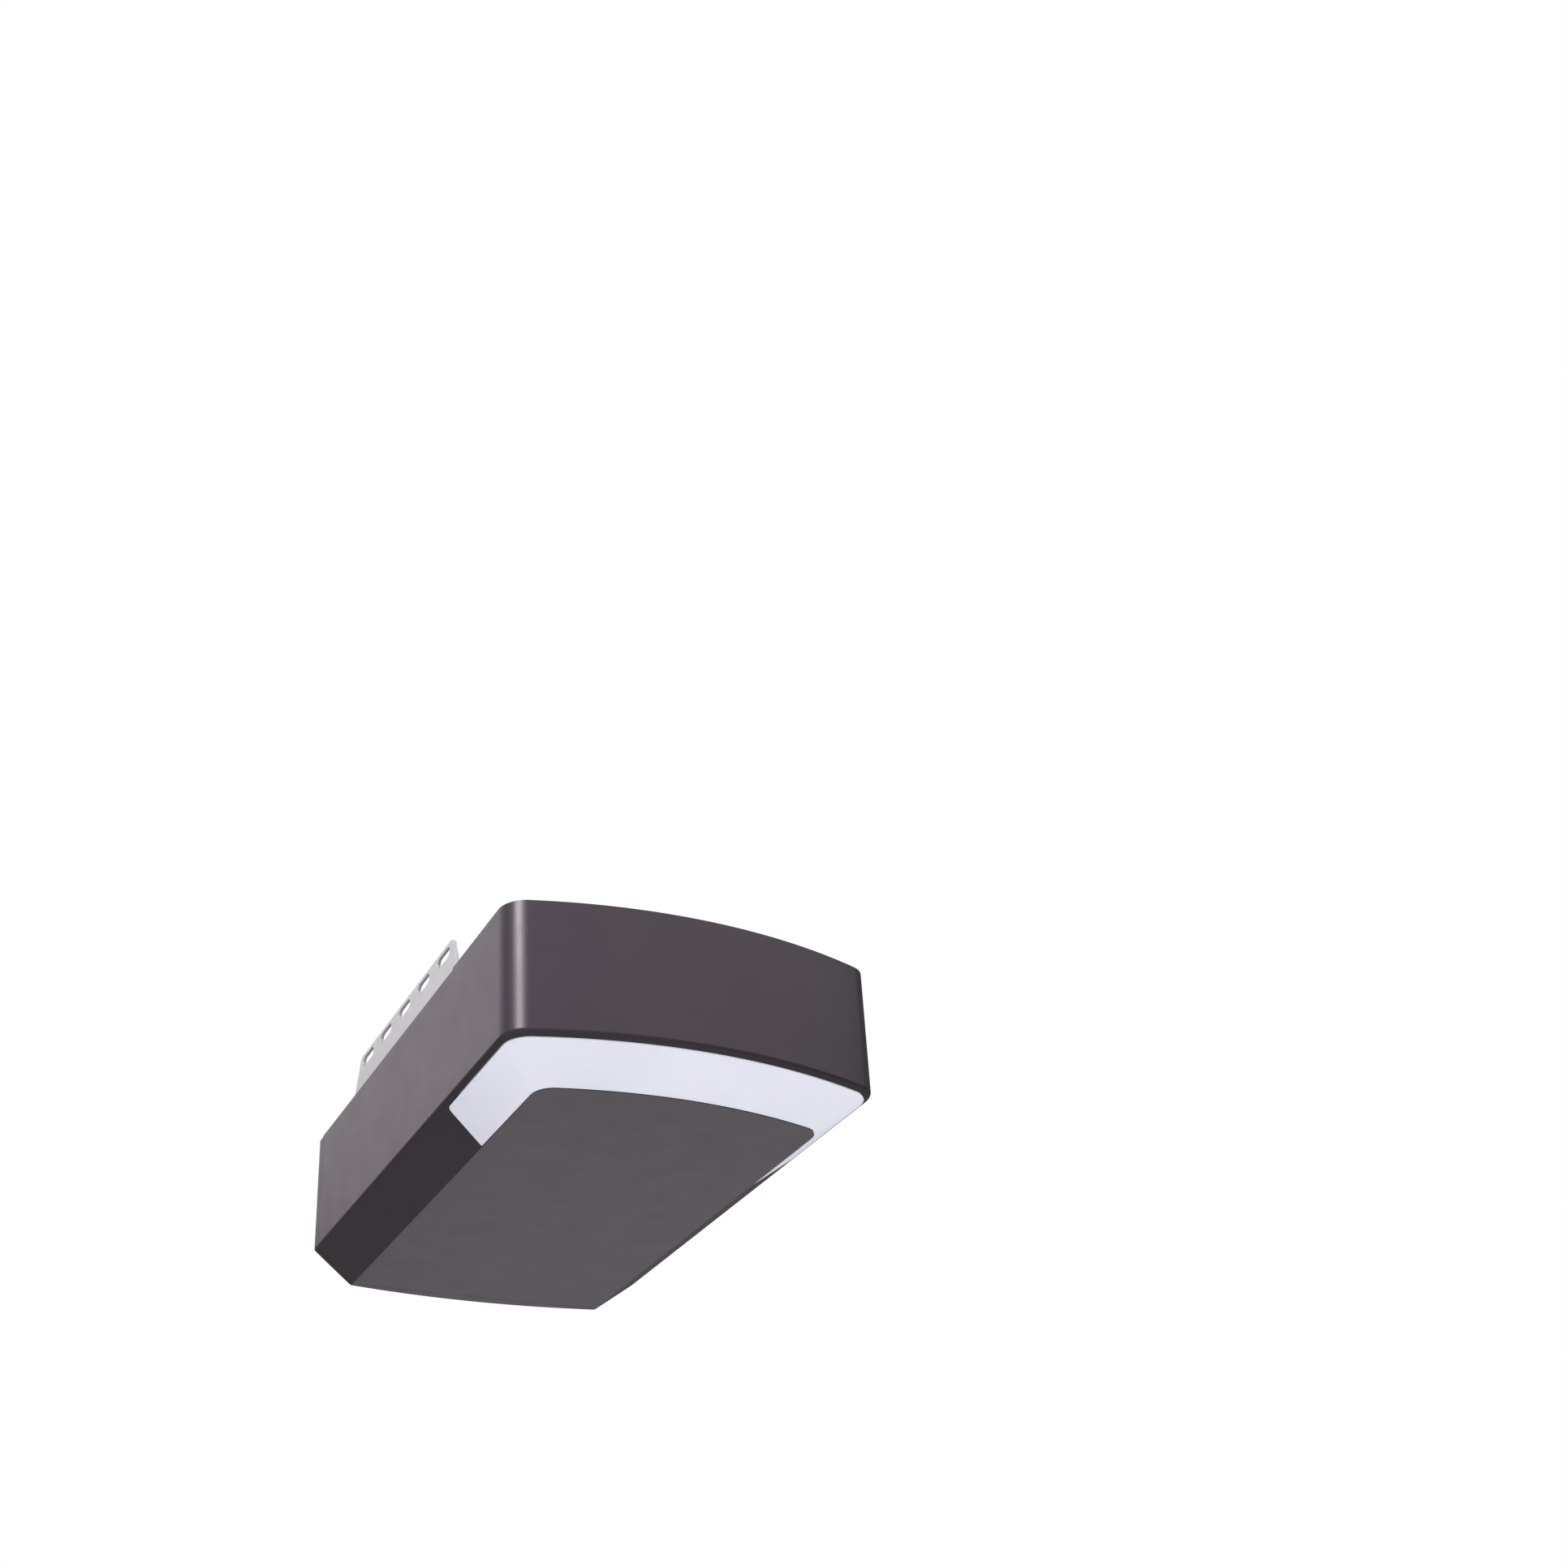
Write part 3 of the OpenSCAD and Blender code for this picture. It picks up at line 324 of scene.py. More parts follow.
class Piece:
    """One mesh under construction, in millimetres."""

    def __init__(self):
        self.bm = bmesh.new()

    def vert(self, p):
        return self.bm.verts.new(Vector(p))

    def face(self, verts):
        return self.bm.faces.new(verts)

    def grid(self, rows, keep=None, closed=False):
        """Faces between rows of points; keep(row, column) says which of them exist."""
        made = [[self.vert(p) for p in row] for row in rows]
        for r in range(len(made) - 1):
            count = len(made[r])
            for c in range(count if closed else count - 1):
                if keep is None or keep(r, c):
                    d = (c + 1) % count
                    self.face((made[r][c], made[r + 1][c], made[r + 1][d], made[r][d]))
        return made

    def across(self, row):
        """Closes a mirrored row with strips from each left point to its right twin."""
        last = len(row) - 1
        for i in range(last // 2):
            loop = [row[i], row[last - i], row[last - i - 1], row[i + 1]]
            if loop[2] is loop[3]:
                loop.pop()
            self.face(loop)

    def lathe(self, profile, at, axis="Z", steps=48):
        """Turns (radius, height) pairs round an axis. A zero radius closes the end,
        and a radius may be a function of the angle."""
        turn = {"Z": Matrix.Identity(3), "Y": Matrix.Rotation(-math.pi / 2, 3, "X")}[axis]
        rows = []
        for radius, height in profile:
            row = []
            for i in range(steps if radius else 1):
                a = 2 * math.pi * i / steps
                r = radius(a) if callable(radius) else radius
                row.append(self.vert(Vector(at) + turn @ Vector((r * math.cos(a), r * math.sin(a), height))))
            rows.append(row)
        for low, high in zip(rows, rows[1:]):
            for i in range(steps):
                j = (i + 1) % steps
                if len(low) == 1:
                    self.face((low[0], high[j], high[i]))
                elif len(high) == 1:
                    self.face((low[i], low[j], high[0]))
                else:
                    self.face((low[i], low[j], high[j], high[i]))
        for row in (rows[0][::-1], rows[-1]):
            if len(row) > 1:
                self.face(row)

    def box(self, low, high):
        x0, y0, z0 = low
        x1, y1, z1 = high
        p = [self.vert((x, y, z)) for z in (z0, z1) for y in (y0, y1) for x in (x0, x1)]
        sides = ((0, 2, 3, 1), (4, 5, 7, 6), (0, 1, 5, 4), (2, 6, 7, 3), (0, 4, 6, 2), (1, 3, 7, 5))
        for side in sides:
            self.face([p[i] for i in side])

    def plate(self, outer, holes, low, high, axis="Z"):
        """A flat plate with holes: outlines in the plane across the axis, filled and given depth."""
        place = {
            "Z": lambda u, v, w: (u, v, w),
            "Y": lambda u, v, w: (u, w, v),
            "X": lambda u, v, w: (w, u, v),
        }[axis]
        flat = filled([outer] + list(holes))
        layers = []
        for w in (low, high):
            layers.append([self.vert(place(v.co.x, v.co.y, w)) for v in flat.verts])
        for f in flat.faces:
            index = [v.index for v in f.verts]
            self.face([layers[1][i] for i in index])
            self.face([layers[0][i] for i in reversed(index)])
        for e in flat.edges:
            if len(e.link_faces) == 1:
                a, b = (v.index for v in e.verts)
                self.face((layers[0][a], layers[0][b], layers[1][b], layers[1][a]))
        flat.free()

    def prism(self, outline, low, high, axis="Z"):
        self.plate(outline, [], low, high, axis)

    def drop_loose(self):
        """Removes points that no face uses."""
        for v in [v for v in self.bm.verts if not v.link_faces]:
            self.bm.verts.remove(v)

    def finish(self, name, node=None, slot=None, thickness=None, even=True,
               edge=0.3, steps=2, angle=38, material=None):
        """Makes the object: thickens, rounds the edges, and ties it to its body and its node.
        A piece without a node is an addition to the frame."""
        if thickness is None:
            bmesh.ops.recalc_face_normals(self.bm, faces=self.bm.faces)
        for f in self.bm.faces:
            f.smooth = True
        self.bm.transform(Matrix.Scale(MM, 4))
        mesh = bpy.data.meshes.new(name)
        self.bm.to_mesh(mesh)
        self.bm.free()
        obj = add_object(name, mesh)
        slot = slot or NODE_SLOT[node]
        mesh.materials.append((material or MATERIALS[slot]).material)
        if thickness is not None:
            skin = obj.modifiers.new("skin", "SOLIDIFY")
            skin.thickness = thickness * MM
            skin.offset = -1.0
            skin.use_even_offset = even
        if edge:
            rounded = obj.modifiers.new("edges", "BEVEL")
            rounded.width = edge * MM
            rounded.segments = steps
            rounded.limit_method = "ANGLE"
            rounded.angle_limit = math.radians(angle)
            rounded.use_clamp_overlap = True
        flat = obj.modifiers.new("normals", "WEIGHTED_NORMAL")
        flat.keep_sharp = True
        flat.weight = 80
        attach(obj, NODE_BODY[node] if node else "frame")
        if node:
            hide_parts(node)


def cad_size(node):
    """The CAD node's low and high corner, in millimetres."""
    return [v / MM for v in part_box(node)]


def lerp(a, b, t):
    return a + (b - a) * t


def spread(a, b, count):
    return [lerp(a, b, i / count) for i in range(count + 1)]


def arc(cx, cy, r, start, end, count):
    return [
        (cx + r * math.cos(math.radians(t)), cy + r * math.sin(math.radians(t)))
        for t in spread(start, end, count)
    ]


def fillet(a, b, c, radius, count):
    """Points of the arc that rounds corner b between a and c."""
    u, v = (a - b).normalized(), (c - b).normalized()
    half = u.angle(v) / 2
    reach = radius / math.tan(half)
    centre = b + (u + v).normalized() * (radius / math.sin(half))
    p, q = b + u * reach - centre, b + v * reach - centre
    sweep = p.angle(q)
    points = []
    for i in range(count + 1):
        t = i / count
        points.append(centre + (p * math.sin((1 - t) * sweep) + q * math.sin(t * sweep)) / math.sin(sweep))
    return points


def slot_outline(cx, cy, length, width, count=10):
    r, run = width / 2, (length - width) / 2
    return arc(cx + run, cy, r, -90, 90, count) + arc(cx - run, cy, r, 90, 270, count)


def circle(cx, cy, r, count=32):
    return arc(cx, cy, r, 0, 360 * (count - 1) / count, count - 1)


def rect(x0, y0, x1, y1, grow=0.0):
    x0, y0, x1, y1 = x0 - grow, y0 - grow, x1 + grow, y1 + grow
    return [(x0, y0), (x1, y0), (x1, y1), (x0, y1)]


def rounded_rect(x0, y0, x1, y1, r, count=5):
    return (
        arc(x1 - r, y0 + r, r, -90, 0, count)
        + arc(x1 - r, y1 - r, r, 0, 90, count)
        + arc(x0 + r, y1 - r, r, 90, 180, count)
        + arc(x0 + r, y0 + r, r, 180, 270, count)
    )


# -------- housing form


def level_sizes(level):
    """Half width, front, bow and corner radius: level -1 is the wall top, 0 its foot, 1 the floor."""
    if level <= 0:
        return HALF_W - FLARE * level, FRONT_Y + FLARE * level, FRONT_BOW, CORNER_R
    return (
        HALF_W - BEVEL_SIDE * level,
        FRONT_Y + BEVEL_FRONT * level,
        lerp(FRONT_BOW, BOTTOM_BOW, level),
        lerp(CORNER_R, BOTTOM_CORNER_R, level),
    )


def level_z(level):
    return -WALL_H * (1 + level) if level <= 0 else -WALL_H - BEVEL_H * level


def rear_y(x):
    return REAR_Y + REAR_BOW * (1 - (x / HALF_W) ** 2)


def front_arcs(level):
    """Radius and middle of the bowed front's arc, and the middle of the corner's arc."""
    half, front, bow, corner = level_sizes(level)
    big = (half * half + bow * bow) / (2 * bow)
    big_y = front - bow + big
    fx = half - corner
    return big, big_y, fx, big_y - math.sqrt((big - corner) ** 2 - fx * fx)


def front_outline(level, inset=0.0):
    """Left half of the bowed front, from the end of the left side to the middle."""
    big, big_y, fx, fy = front_arcs(level)
    corner = level_sizes(level)[3]
    turn = math.degrees(math.atan2(fy - big_y, fx))
    small = arc(-fx, fy, corner - inset, 180, 180 - turn, 10)
    return small + arc(0, big_y, big - inset, -180 - turn, -90, 16)[1:]


def smooth_weight(y, peak, rear, front):
    """1 at the peak, falling smoothly to 0 at the rear and the front."""
    if y >= peak:
        t = (rear - y) / (rear - peak)
    else:
        t = (y - front) / (peak - front)
    t = max(0.0, min(1.0, t))
    return t * t * (3 - 2 * t)


LENS_CORNER_R = 3.4
CORNER_STEPS = 4
SLOPE_LEN = math.hypot(BEVEL_SIDE, BEVEL_H)
STRAIGHT_END = -100.0


def side_columns(inset):
    """y of the grid's columns along the left side's lower edge, and the place of the cut's column."""
    start = front_arcs(0)[3]
    behind = [SEAM_Y, 190.0, 150.0, 110.0, 70.0, 40.0, 15.0, -5.0, -20.0, -30.0, -37.0]
    cut = CUT_Y - inset
    rounding = [cut - LENS_CORNER_R * i / CORNER_STEPS for i in range(CORNER_STEPS + 1)]
    ahead = [-54.0, STEP_Y, -72.0, -84.0, -96.0, -108.0, -119.0]
    columns = behind + rounding + ahead
    columns += [lerp(ahead[-1], start, 0.5), start]
    return columns, len(behind)


def ring(level, columns):
    """Left half of the housing's outline at a level, from the seam to the middle of the front."""
    half = level_sizes(level)[0]
    s = max(level, 0.0)
    start = front_arcs(level)[3]
    end = columns[-1]
    points = []
    for y in columns[:-1]:
        moved = y + s * (
            LENS_CUT * BEVEL_SIDE * smooth_weight(y, CUT_Y, 90.0, end)
            + SEAM_SLANT * smooth_weight(y, SEAM_Y, 400.0, 60.0)
        )
        if y < STRAIGHT_END:
            share = (STRAIGHT_END - y) / (STRAIGHT_END - end)
            moved += (start - end) * smooth_weight(y, end, 1.0, end - 1.0) * share
        points.append(Vector((-half, moved, level_z(level))))
    return points + [Vector((x, y, level_z(level))) for x, y in front_outline(level)]


def mirrored(row):
    return row + [Vector((-p.x, p.y, p.z)) for p in reversed(row[:-1])]


def bevel_levels(inset):
    """Levels of the bevel's rows: the rim, the rounding of the cut's corner, and on to the floor."""
    top = LENS_RIM - 0.004 + inset / SLOPE_LEN
    rows = [top + LENS_CORNER_R * i / CORNER_STEPS / SLOPE_LEN for i in range(CORNER_STEPS + 1)]
    return rows + [0.35, 0.5, 0.65, 0.8, 0.91]


def round_corner(rows, first, column, inside):
    """Rounds the corner of the lens opening at the given row and column.
    The border's points move, and with inside the points within the corner too."""
    near = [list(row) for row in rows]
    k = CORNER_STEPS

    def shift(i, j):
        """Move of the border's point at row offset i and column offset j."""
        u = Vector(near[first][column + k] - near[first][column]) / k
        v = Vector(near[first + k][column] - near[first][column]) / k
        if i == 0:
            a = math.radians(45 * (1 - j / k))
            target = (k - k * math.sin(a), k - k * math.cos(a))
            return u * (target[0] - j) + v * target[1]
        a = math.radians(45 * (1 - i / k))
        target = (k - k * math.cos(a), k - k * math.sin(a))
        return u * target[0] + v * (target[1] - i)

    for i in range(k + 1):
        for j in range(k + 1):
            if i and j and not inside:
                continue
            if i and j:
                move = (
                    shift(i, 0) * (1 - j / k) + shift(0, j) * (1 - i / k)
                    - shift(0, 0) * (1 - i / k) * (1 - j / k)
                )
            else:
                move = shift(i, j)
            rows[first + i][column + j] = near[first + i][column + j] + move


# -------- hood


def housing_rows(columns, cut_column):
    """Rows of the hood's left half from the top of the wall to a little way onto the floor."""
    top, deck, foot, base = (ring(level, columns) for level in (-1 - LIP_H / WALL_H, -1, 0, 1))
    rows = [top, deck]
    for t in (0.33, 0.66):
        rows.append([lerp(a, b, t) for a, b in zip(deck, foot)])
    inner = []
    for p in base:
        aim = Vector((p.x * 0.9, lerp(p.y, 20.0, 0.08) if p.y < 100 else p.y, FLOOR_Z))
        inner.append(p + (aim - p).normalized() * 6.0)
    foot_round = [fillet(a, b, c, FOOT_ROUND, 5) for a, b, c in zip(deck, foot, base)]
    rows += [list(row) for row in zip(*foot_round)]
    first_bevel = len(rows)
    for level in bevel_levels(0.0):
        rows.append([lerp(a, b, level) for a, b in zip(foot, base)])
    floor_round = [
        fillet(a, b, c, LENS_EDGE_ROUND if i >= cut_column else FLOOR_ROUND, 3)
        for i, (a, b, c) in enumerate(zip(foot, base, inner))
    ]
    rows += [list(row) for row in zip(*floor_round)]
    rows.append(inner)
    return rows, first_bevel


def build_hood():
    columns, cut_column = side_columns(0.0)
    rows, first = housing_rows(columns, cut_column)
    opening_last = first + len(bevel_levels(0.0))
    round_corner(rows, first, cut_column, False)
    full = [mirrored(row) for row in rows]
    total = len(full[0])
    step = columns.index(STEP_Y)

    def keep(r, c):
        column = min(c, total - 2 - c)
        if r == 0:
            return column >= step
        return not (first <= r < opening_last and column >= cut_column)

    piece = Piece()
    made = piece.grid(full, keep)
    piece.drop_loose()
    piece.across(made[-1])
    piece.finish("hood_shell", "hood", thickness=SKIN, edge=0.22, angle=50)


HOOD_POST, DECK_POST, COVER_EAR = (112.0, 180.0), (100.0, -115.0), (58.0, 192.0)


def build_posts():
    """Screw posts with webs to the wall, and ribs under the reflector's outer edge."""
    piece = Piece()
    wall = HALF_W - SKIN / 2
    for s in (-1, 1):
        for (x, y), low, top in ((HOOD_POST, -48.0, -SHEET), (DECK_POST, -36.0, LIP_H - SKIN)):
            bore = top - 14.0
            post = [(0, low), (5.0, low), (5.0, top), (1.8, top), (1.8, bore), (0, bore)]
            piece.lathe(post, (s * x, y, 0), steps=28)
            x0, x1 = sorted((s * (x + 4.4), s * wall))
            piece.box((x0, y - 1.5, low), (x1, y + 1.5, top))
        for y in (-128.0, -90.0, -52.0):
            x0, x1 = sorted((s * (HALF_W - 6.5), s * wall))
            piece.box((x0, y - 1.5, -WALL_H + 4), (x1, y + 1.5, -WALL_H + 8))
    piece.finish("hood_posts", "hood", edge=0.3)


build_hood()
build_posts()

# -------- lens


def build_lens():
    """The glowing cover, a gap smaller than its opening all round."""
    columns, cut = side_columns(LENS_GAP)
    foot, base = ring(0, columns), ring(1, columns)
    rows = []
    for level in bevel_levels(LENS_GAP) + [0.984]:
        rows.append([lerp(a, b, level) for a, b in zip(foot, base)])
    round_corner(rows, 0, cut, True)
    rows = [mirrored(row[cut:]) for row in rows]
    piece = Piece()
    piece.grid(rows)
    piece.finish("lens_cover", "light_lens", thickness=2.0, edge=0.5, steps=3, angle=50)


build_lens()

# -------- rear cover

PANEL = (-84.0, 26.0, -66.0, -22.0)
PANEL_GAP = 0.3
INLET_X, INLET_Z = 60.0, -38.0
INLET_SCREWS = (INLET_X - 20.0, INLET_X + 20.0)
INLET_POCKET = (INLET_X - 26, INLET_X + 26, INLET_Z - 13, INLET_Z + 13)
TERMINAL_GAP = (34.0, 84.0, -81.0, -64.0)
AIR_SLOTS = [(-114.0, -92.0, -68.0 + 7 * i, -65.5 + 7 * i) for i in range(7)]
OPENINGS = [
    (PANEL[0] - PANEL_GAP, PANEL[1] + PANEL_GAP, PANEL[2] - PANEL_GAP, PANEL[3] + PANEL_GAP),
    INLET_POCKET,
    TERMINAL_GAP,
] + AIR_SLOTS


def grid_lines(values, step):
    """The values in order, with lines between them no more than a step apart."""
    values = sorted(set(values))
    lines = [values[0]]
    for a, b in zip(values, values[1:]):
        count = max(1, math.ceil((b - a) / step))
        lines += [lerp(a, b, i / count) for i in range(1, count + 1)]
    return lines


def rear_ring(half, z, xs, inset=0.0, rear_inset=None):
    """From the right seam round the rear corner and across the rear face to the left seam."""
    rear_inset = inset if rear_inset is None else rear_inset
    s = max(0.0, (-WALL_H - z) / BEVEL_H)
    seam = SEAM_Y + SEAM_GAP + SEAM_SLANT * s
    corner = rear_y(min(half, HALF_W))
    side_x = half - inset
    squeeze = min(1.0, (side_x - 4.0) / 116.0)
    rear = [Vector((x * squeeze, rear_y(x * squeeze) - rear_inset, z)) for x in xs]
    a = Vector((-side_x, corner - 8.0, z))
    b = Vector((-side_x, corner - rear_inset, z))
    turn = fillet(a, b, rear[0], lerp(1.8, 0.8, min(s, 1.0)), 4)
    side = [Vector((-side_x, lerp(seam, turn[0].y, t), z)) for t in (0.0, 0.5)]
    left = side + turn
    return [Vector((-p.x, p.y, p.z)) for p in left] + rear[::-1] + left[::-1]


def build_rear_cover():
    """End cap: a rounded rim, side and rear walls with openings, bevels and a hem at the floor."""
    xs = grid_lines([-116.0, 116.0] + [v for o in OPENINGS for v in o[:2]], 11.0)
    zs = grid_lines([v for o in OPENINGS for v in o[2:]] + [-8.0], 14.0)
    top = Vector((HALF_W + FLARE, 0))
    foot = Vector((HALF_W, -WALL_H))
    base = Vector((HALF_W - BEVEL_SIDE, FLOOR_Z))
    rim, hem = 1.2, 1.0
    rows = []
    for t in (90, 60, 30, 0):
        a = math.radians(t)
        rows.append(rear_ring(top.x, -rim * (1 - math.sin(a)), xs, rim * (1 - math.cos(a))))
    for z in sorted(zs, reverse=True):
        rows.append(rear_ring(lerp(top.x, foot.x, -z / WALL_H), z, xs))
    for p in fillet(top, foot, base, FOOT_ROUND, 5):
        rows.append(rear_ring(p.x, p.y, xs))
    for t in (0.3, 0.6, 0.85):
        rows.append(rear_ring(lerp(foot.x, base.x, t), lerp(foot.y, base.y, t), xs))
    for t in (0, 30, 60, 90):
        a = math.radians(t)
        z = FLOOR_Z + hem * (1 - math.sin(a))
        half = foot.x + (base.x - foot.x) * (-WALL_H - z) / BEVEL_H
        rows.append(rear_ring(half, z, xs, 0.35 * (1 - math.cos(a)), hem * (1 - math.cos(a))))

    def keep(r, c):
        middle = (rows[r][c] + rows[r][c + 1] + rows[r + 1][c + 1] + rows[r + 1][c]) / 4
        if middle.y < REAR_Y + 1.0 or abs(middle.x) > 117.0:
            return True
        return not any(x0 < middle.x < x1 and z0 < middle.z < z1 for x0, x1, z0, z1 in OPENINGS)

    piece = Piece()
    made = piece.grid(rows, keep)
    piece.drop_loose()
    piece.across(made[0][::-1])
    piece.across(made[-1])
    piece.finish("rear_cover_shell", "rear_cover", thickness=SKIN, even=False, edge=0.2, angle=50)


def build_ears():
    """Tabs that are screwed up against the underside of the chassis plate."""
    x, y = COVER_EAR
    piece = Piece()
    for s in (-1, 1):
        outline = rect(s * x - 9, y - 8, s * x + 9, REAR_Y + 3)
        piece.plate(outline, [circle(s * x, y, 1.8, 20)], -SHEET - 4, -SHEET)
    piece.finish("cover_ears", "rear_cover", edge=0.3)


build_rear_cover()
build_ears()


def build_inlet_pocket():
    """The floor and the sides of the pocket that the mains inlet is screwed into."""
    x0, x1, z0, z1 = INLET_POCKET
    face = cad_size("mains_inlet")[1].y - 2.5
    piece = Piece()
    hole = rect(INLET_X - 14.3, INLET_Z - 10.3, INLET_X + 14.3, INLET_Z + 10.3)
    piece.plate(rect(x0, z0, x1, z1, 2.6), [hole], face - 2.5, face - 0.02, "Y")

    def lip(x):
        return rear_y(x) - 0.8

    for z_low, z_high in ((z0 - 2.2, z0 - 0.02), (z1 + 0.02, z1 + 2.2)):
        xs = spread(x0 - 2.2, x1 + 2.2, 10)
        outline = [(x, lip(x)) for x in xs] + [(x1 + 2.2, face - 0.5), (x0 - 2.2, face - 0.5)]
        piece.prism(outline, z_low, z_high)
    for x_low, x_high in ((x0 - 2.2, x0 - 0.02), (x1 + 0.02, x1 + 2.2)):
        outline = [(x_low, face - 0.5), (x_high, face - 0.5), (x_high, lip(x_high)), (x_low, lip(x_low))]
        piece.prism(outline, z0, z1)
    piece.finish("inlet_pocket", "rear_cover", edge=0.15)


build_inlet_pocket()

# -------- front deck and steel chassis


def top_outline(inset, back_y):
    """The housing's outline at the top of its walls, cut straight across at the back."""
    left = front_outline(-1, inset)
    right = [(-x, y) for x, y in reversed(left[:-1])]
    side = level_sizes(-1)[0] - inset
    return [(-side, back_y)] + left + right + [(side, back_y)]


def build_front_deck():
    """Plastic plate that closes the top in front of the chassis."""
    low, high = cad_size("front_deck")
    outline = top_outline(SKIN + 0.3, high.y)
    holes = [circle(s * DECK_POST[0], DECK_POST[1], 2.2, 20) for s in (-1, 1)]
    piece = Piece()
    piece.plate(outline, holes, low.z, high.z)
    piece.finish("deck_plate", "front_deck", edge=0.4)


RIVET_X = CHASSIS_HALF - 16
RIVET_Y = [46.0 + 70.0 * i for i in (-1, 0, 1)]
CLAMP_BOLTS = [(x, y) for x in (-30.0, 30.0) for y in (-46.0, 46.0)]
MOUNT_BOLTS = [(x, y) for x in (-68.0, 52.0) for y in (-34.0, 34.0)]
CHASSIS_SCREWS = [(-86.0, 184.0), (86.0, 184.0), (4.0, 104.0), (88.0, 104.0)]


def build_chassis():
    """The steel plate with all its holes, and welded nuts under the clamp bolts."""
    low, high = cad_size("chassis_plate")
    holes = [circle(0, 0, 16.0, 48)]
    for s in (-1, 1):
        holes += [circle(s * RIVET_X, y, 2.5, 20) for y in RIVET_Y]
        holes += [circle(s * x, y, 2.2, 20) for x, y in (HOOD_POST, COVER_EAR)]
    holes += [circle(x, y, 2.0, 20) for x, y in CHASSIS_SCREWS]
    holes += [circle(x, y, 3.0, 20) for x, y in CLAMP_BOLTS]
    holes += [circle(x, y, 3.3, 24) for x, y in MOUNT_BOLTS]
    outline = rounded_rect(low.x, low.y, high.x, high.y, 1.5, 3)
    piece = Piece()
    piece.plate(outline, holes, -SHEET, 0.0)
    for x, y in CLAMP_BOLTS:
        piece.plate(circle(x, y, 5.0, 24), [circle(x, y, 3.0, 20)], -SHEET - 1.8, -SHEET + 0.01)
    piece.finish("chassis_sheet", "chassis_plate", edge=0.25)


def build_bracket(side):
    """Folded sheet: a foot with rivet holes, a bend, and a flange with five slots."""
    name = "bracket_right" if side > 0 else "bracket_left"
    low, high = cad_size(name)
    mid_y = (low.y + high.y) / 2
    half_len = (high.y - low.y) / 2
    height = high.z
    bend, top_half, tip_r = 3.2, 95.0, 7.0
    lean = math.degrees(math.atan2(half_len - top_half, height))
    foot_edge, foot_in = CHASSIS_HALF - bend, CHASSIS_HALF - 27.0
    piece = Piece()

    def end_at(z):
        return half_len - (half_len - top_half) * z / height

    def fill(outline, holes, place):
        flat = filled([outline] + holes)
        made = {v: piece.vert(place(v.co.x, v.co.y)) for v in flat.verts}
        for f in flat.faces:
            piece.face([made[v] for v in f.verts])
        flat.free()

    # foot, with u across from the middle of the head and v along it
    foot = [(foot_in, mid_y - half_len), (foot_edge, mid_y - end_at(0.0)),
            (foot_edge, mid_y + end_at(0.0)), (foot_in, mid_y + half_len)]
    rivet_holes = [circle(RIVET_X, y, 2.5, 20) for y in RIVET_Y]
    fill(foot, rivet_holes, lambda u, v: (side * u, v, 0.0))
    # flange, with u along the head and v up
    flange = [(mid_y - end_at(bend), bend), (mid_y + end_at(bend), bend)]
    tip_y, tip_z = top_half - tip_r, height - tip_r
    flange += [(mid_y + u, v) for u, v in arc(tip_y, tip_z, tip_r, 20 - lean, 90, 8)]
    flange += [(mid_y + u, v) for u, v in arc(-tip_y, tip_z, tip_r, 90, 160 + lean, 8)]
    slots = [slot_outline(mid_y + 38.0 * i, 26.5, 22.0, 7.0) for i in range(-2, 3)]
    fill(flange, slots, lambda u, v: (side * CHASSIS_HALF, u, v))
    # bend between them
    rows = []
    for t in spread(0, 90, 6):
        a = math.radians(t)
        x = foot_edge + bend * math.sin(a)
        z = bend * (1 - math.cos(a))
        rows.append([(side * x, mid_y - end_at(z), z), (side * x, mid_y + end_at(z), z)])
    piece.grid(rows)
    bmesh.ops.remove_doubles(piece.bm, verts=piece.bm.verts, dist=0.01)
    bmesh.ops.recalc_face_normals(piece.bm, faces=piece.bm.faces)
    outward = sum(f.normal.z * f.calc_area() for f in piece.bm.faces if abs(f.normal.z) > 0.9)
    if outward > 0:
        bmesh.ops.reverse_faces(piece.bm, faces=piece.bm.faces)
    piece.finish(name + "_sheet", name, thickness=SHEET, edge=0.25, angle=50)


build_front_deck()
build_chassis()
for bracket_side in (-1, 1):
    build_bracket(bracket_side)

# -------- fasteners


def build_rivets():
    """Domed heads on top and upset tails below the sheets."""
    piece = Piece()
    head_r, head_h = 5.0, 1.8
    profile = [(0, -4.0), (3.0, -4.0), (3.9, -3.0), (4.0, -SHEET), (2.5, -SHEET), (2.5, SHEET)]
    for t in spread(0, 90, 7)[:-1]:
        a = math.radians(t)
        profile.append((head_r * math.cos(a), SHEET + head_h * math.sin(a)))
    profile.append((0, SHEET + head_h))
    for s in (-1, 1):
        for y in RIVET_Y:
            piece.lathe(profile, (s * RIVET_X, y, 0), steps=32)
    piece.finish("rivet_heads", "bracket_rivets", edge=0.12)


def hexagon(corner_r, limit=math.inf):
    """A radius function: a hexagon, cut back to a limit."""

    def radius(angle):
        local = angle % (math.pi / 3) - math.pi / 6
        return min(limit, corner_r * math.cos(math.pi / 6) / math.cos(local))

    return radius


def cross(r):
    """A radius function: a cross recess."""

    def radius(angle):
        local = (angle + math.pi / 4) % (math.pi / 2) - math.pi / 4
        return min(r, 0.26 * r / max(0.05, abs(math.sin(local))))

    return radius


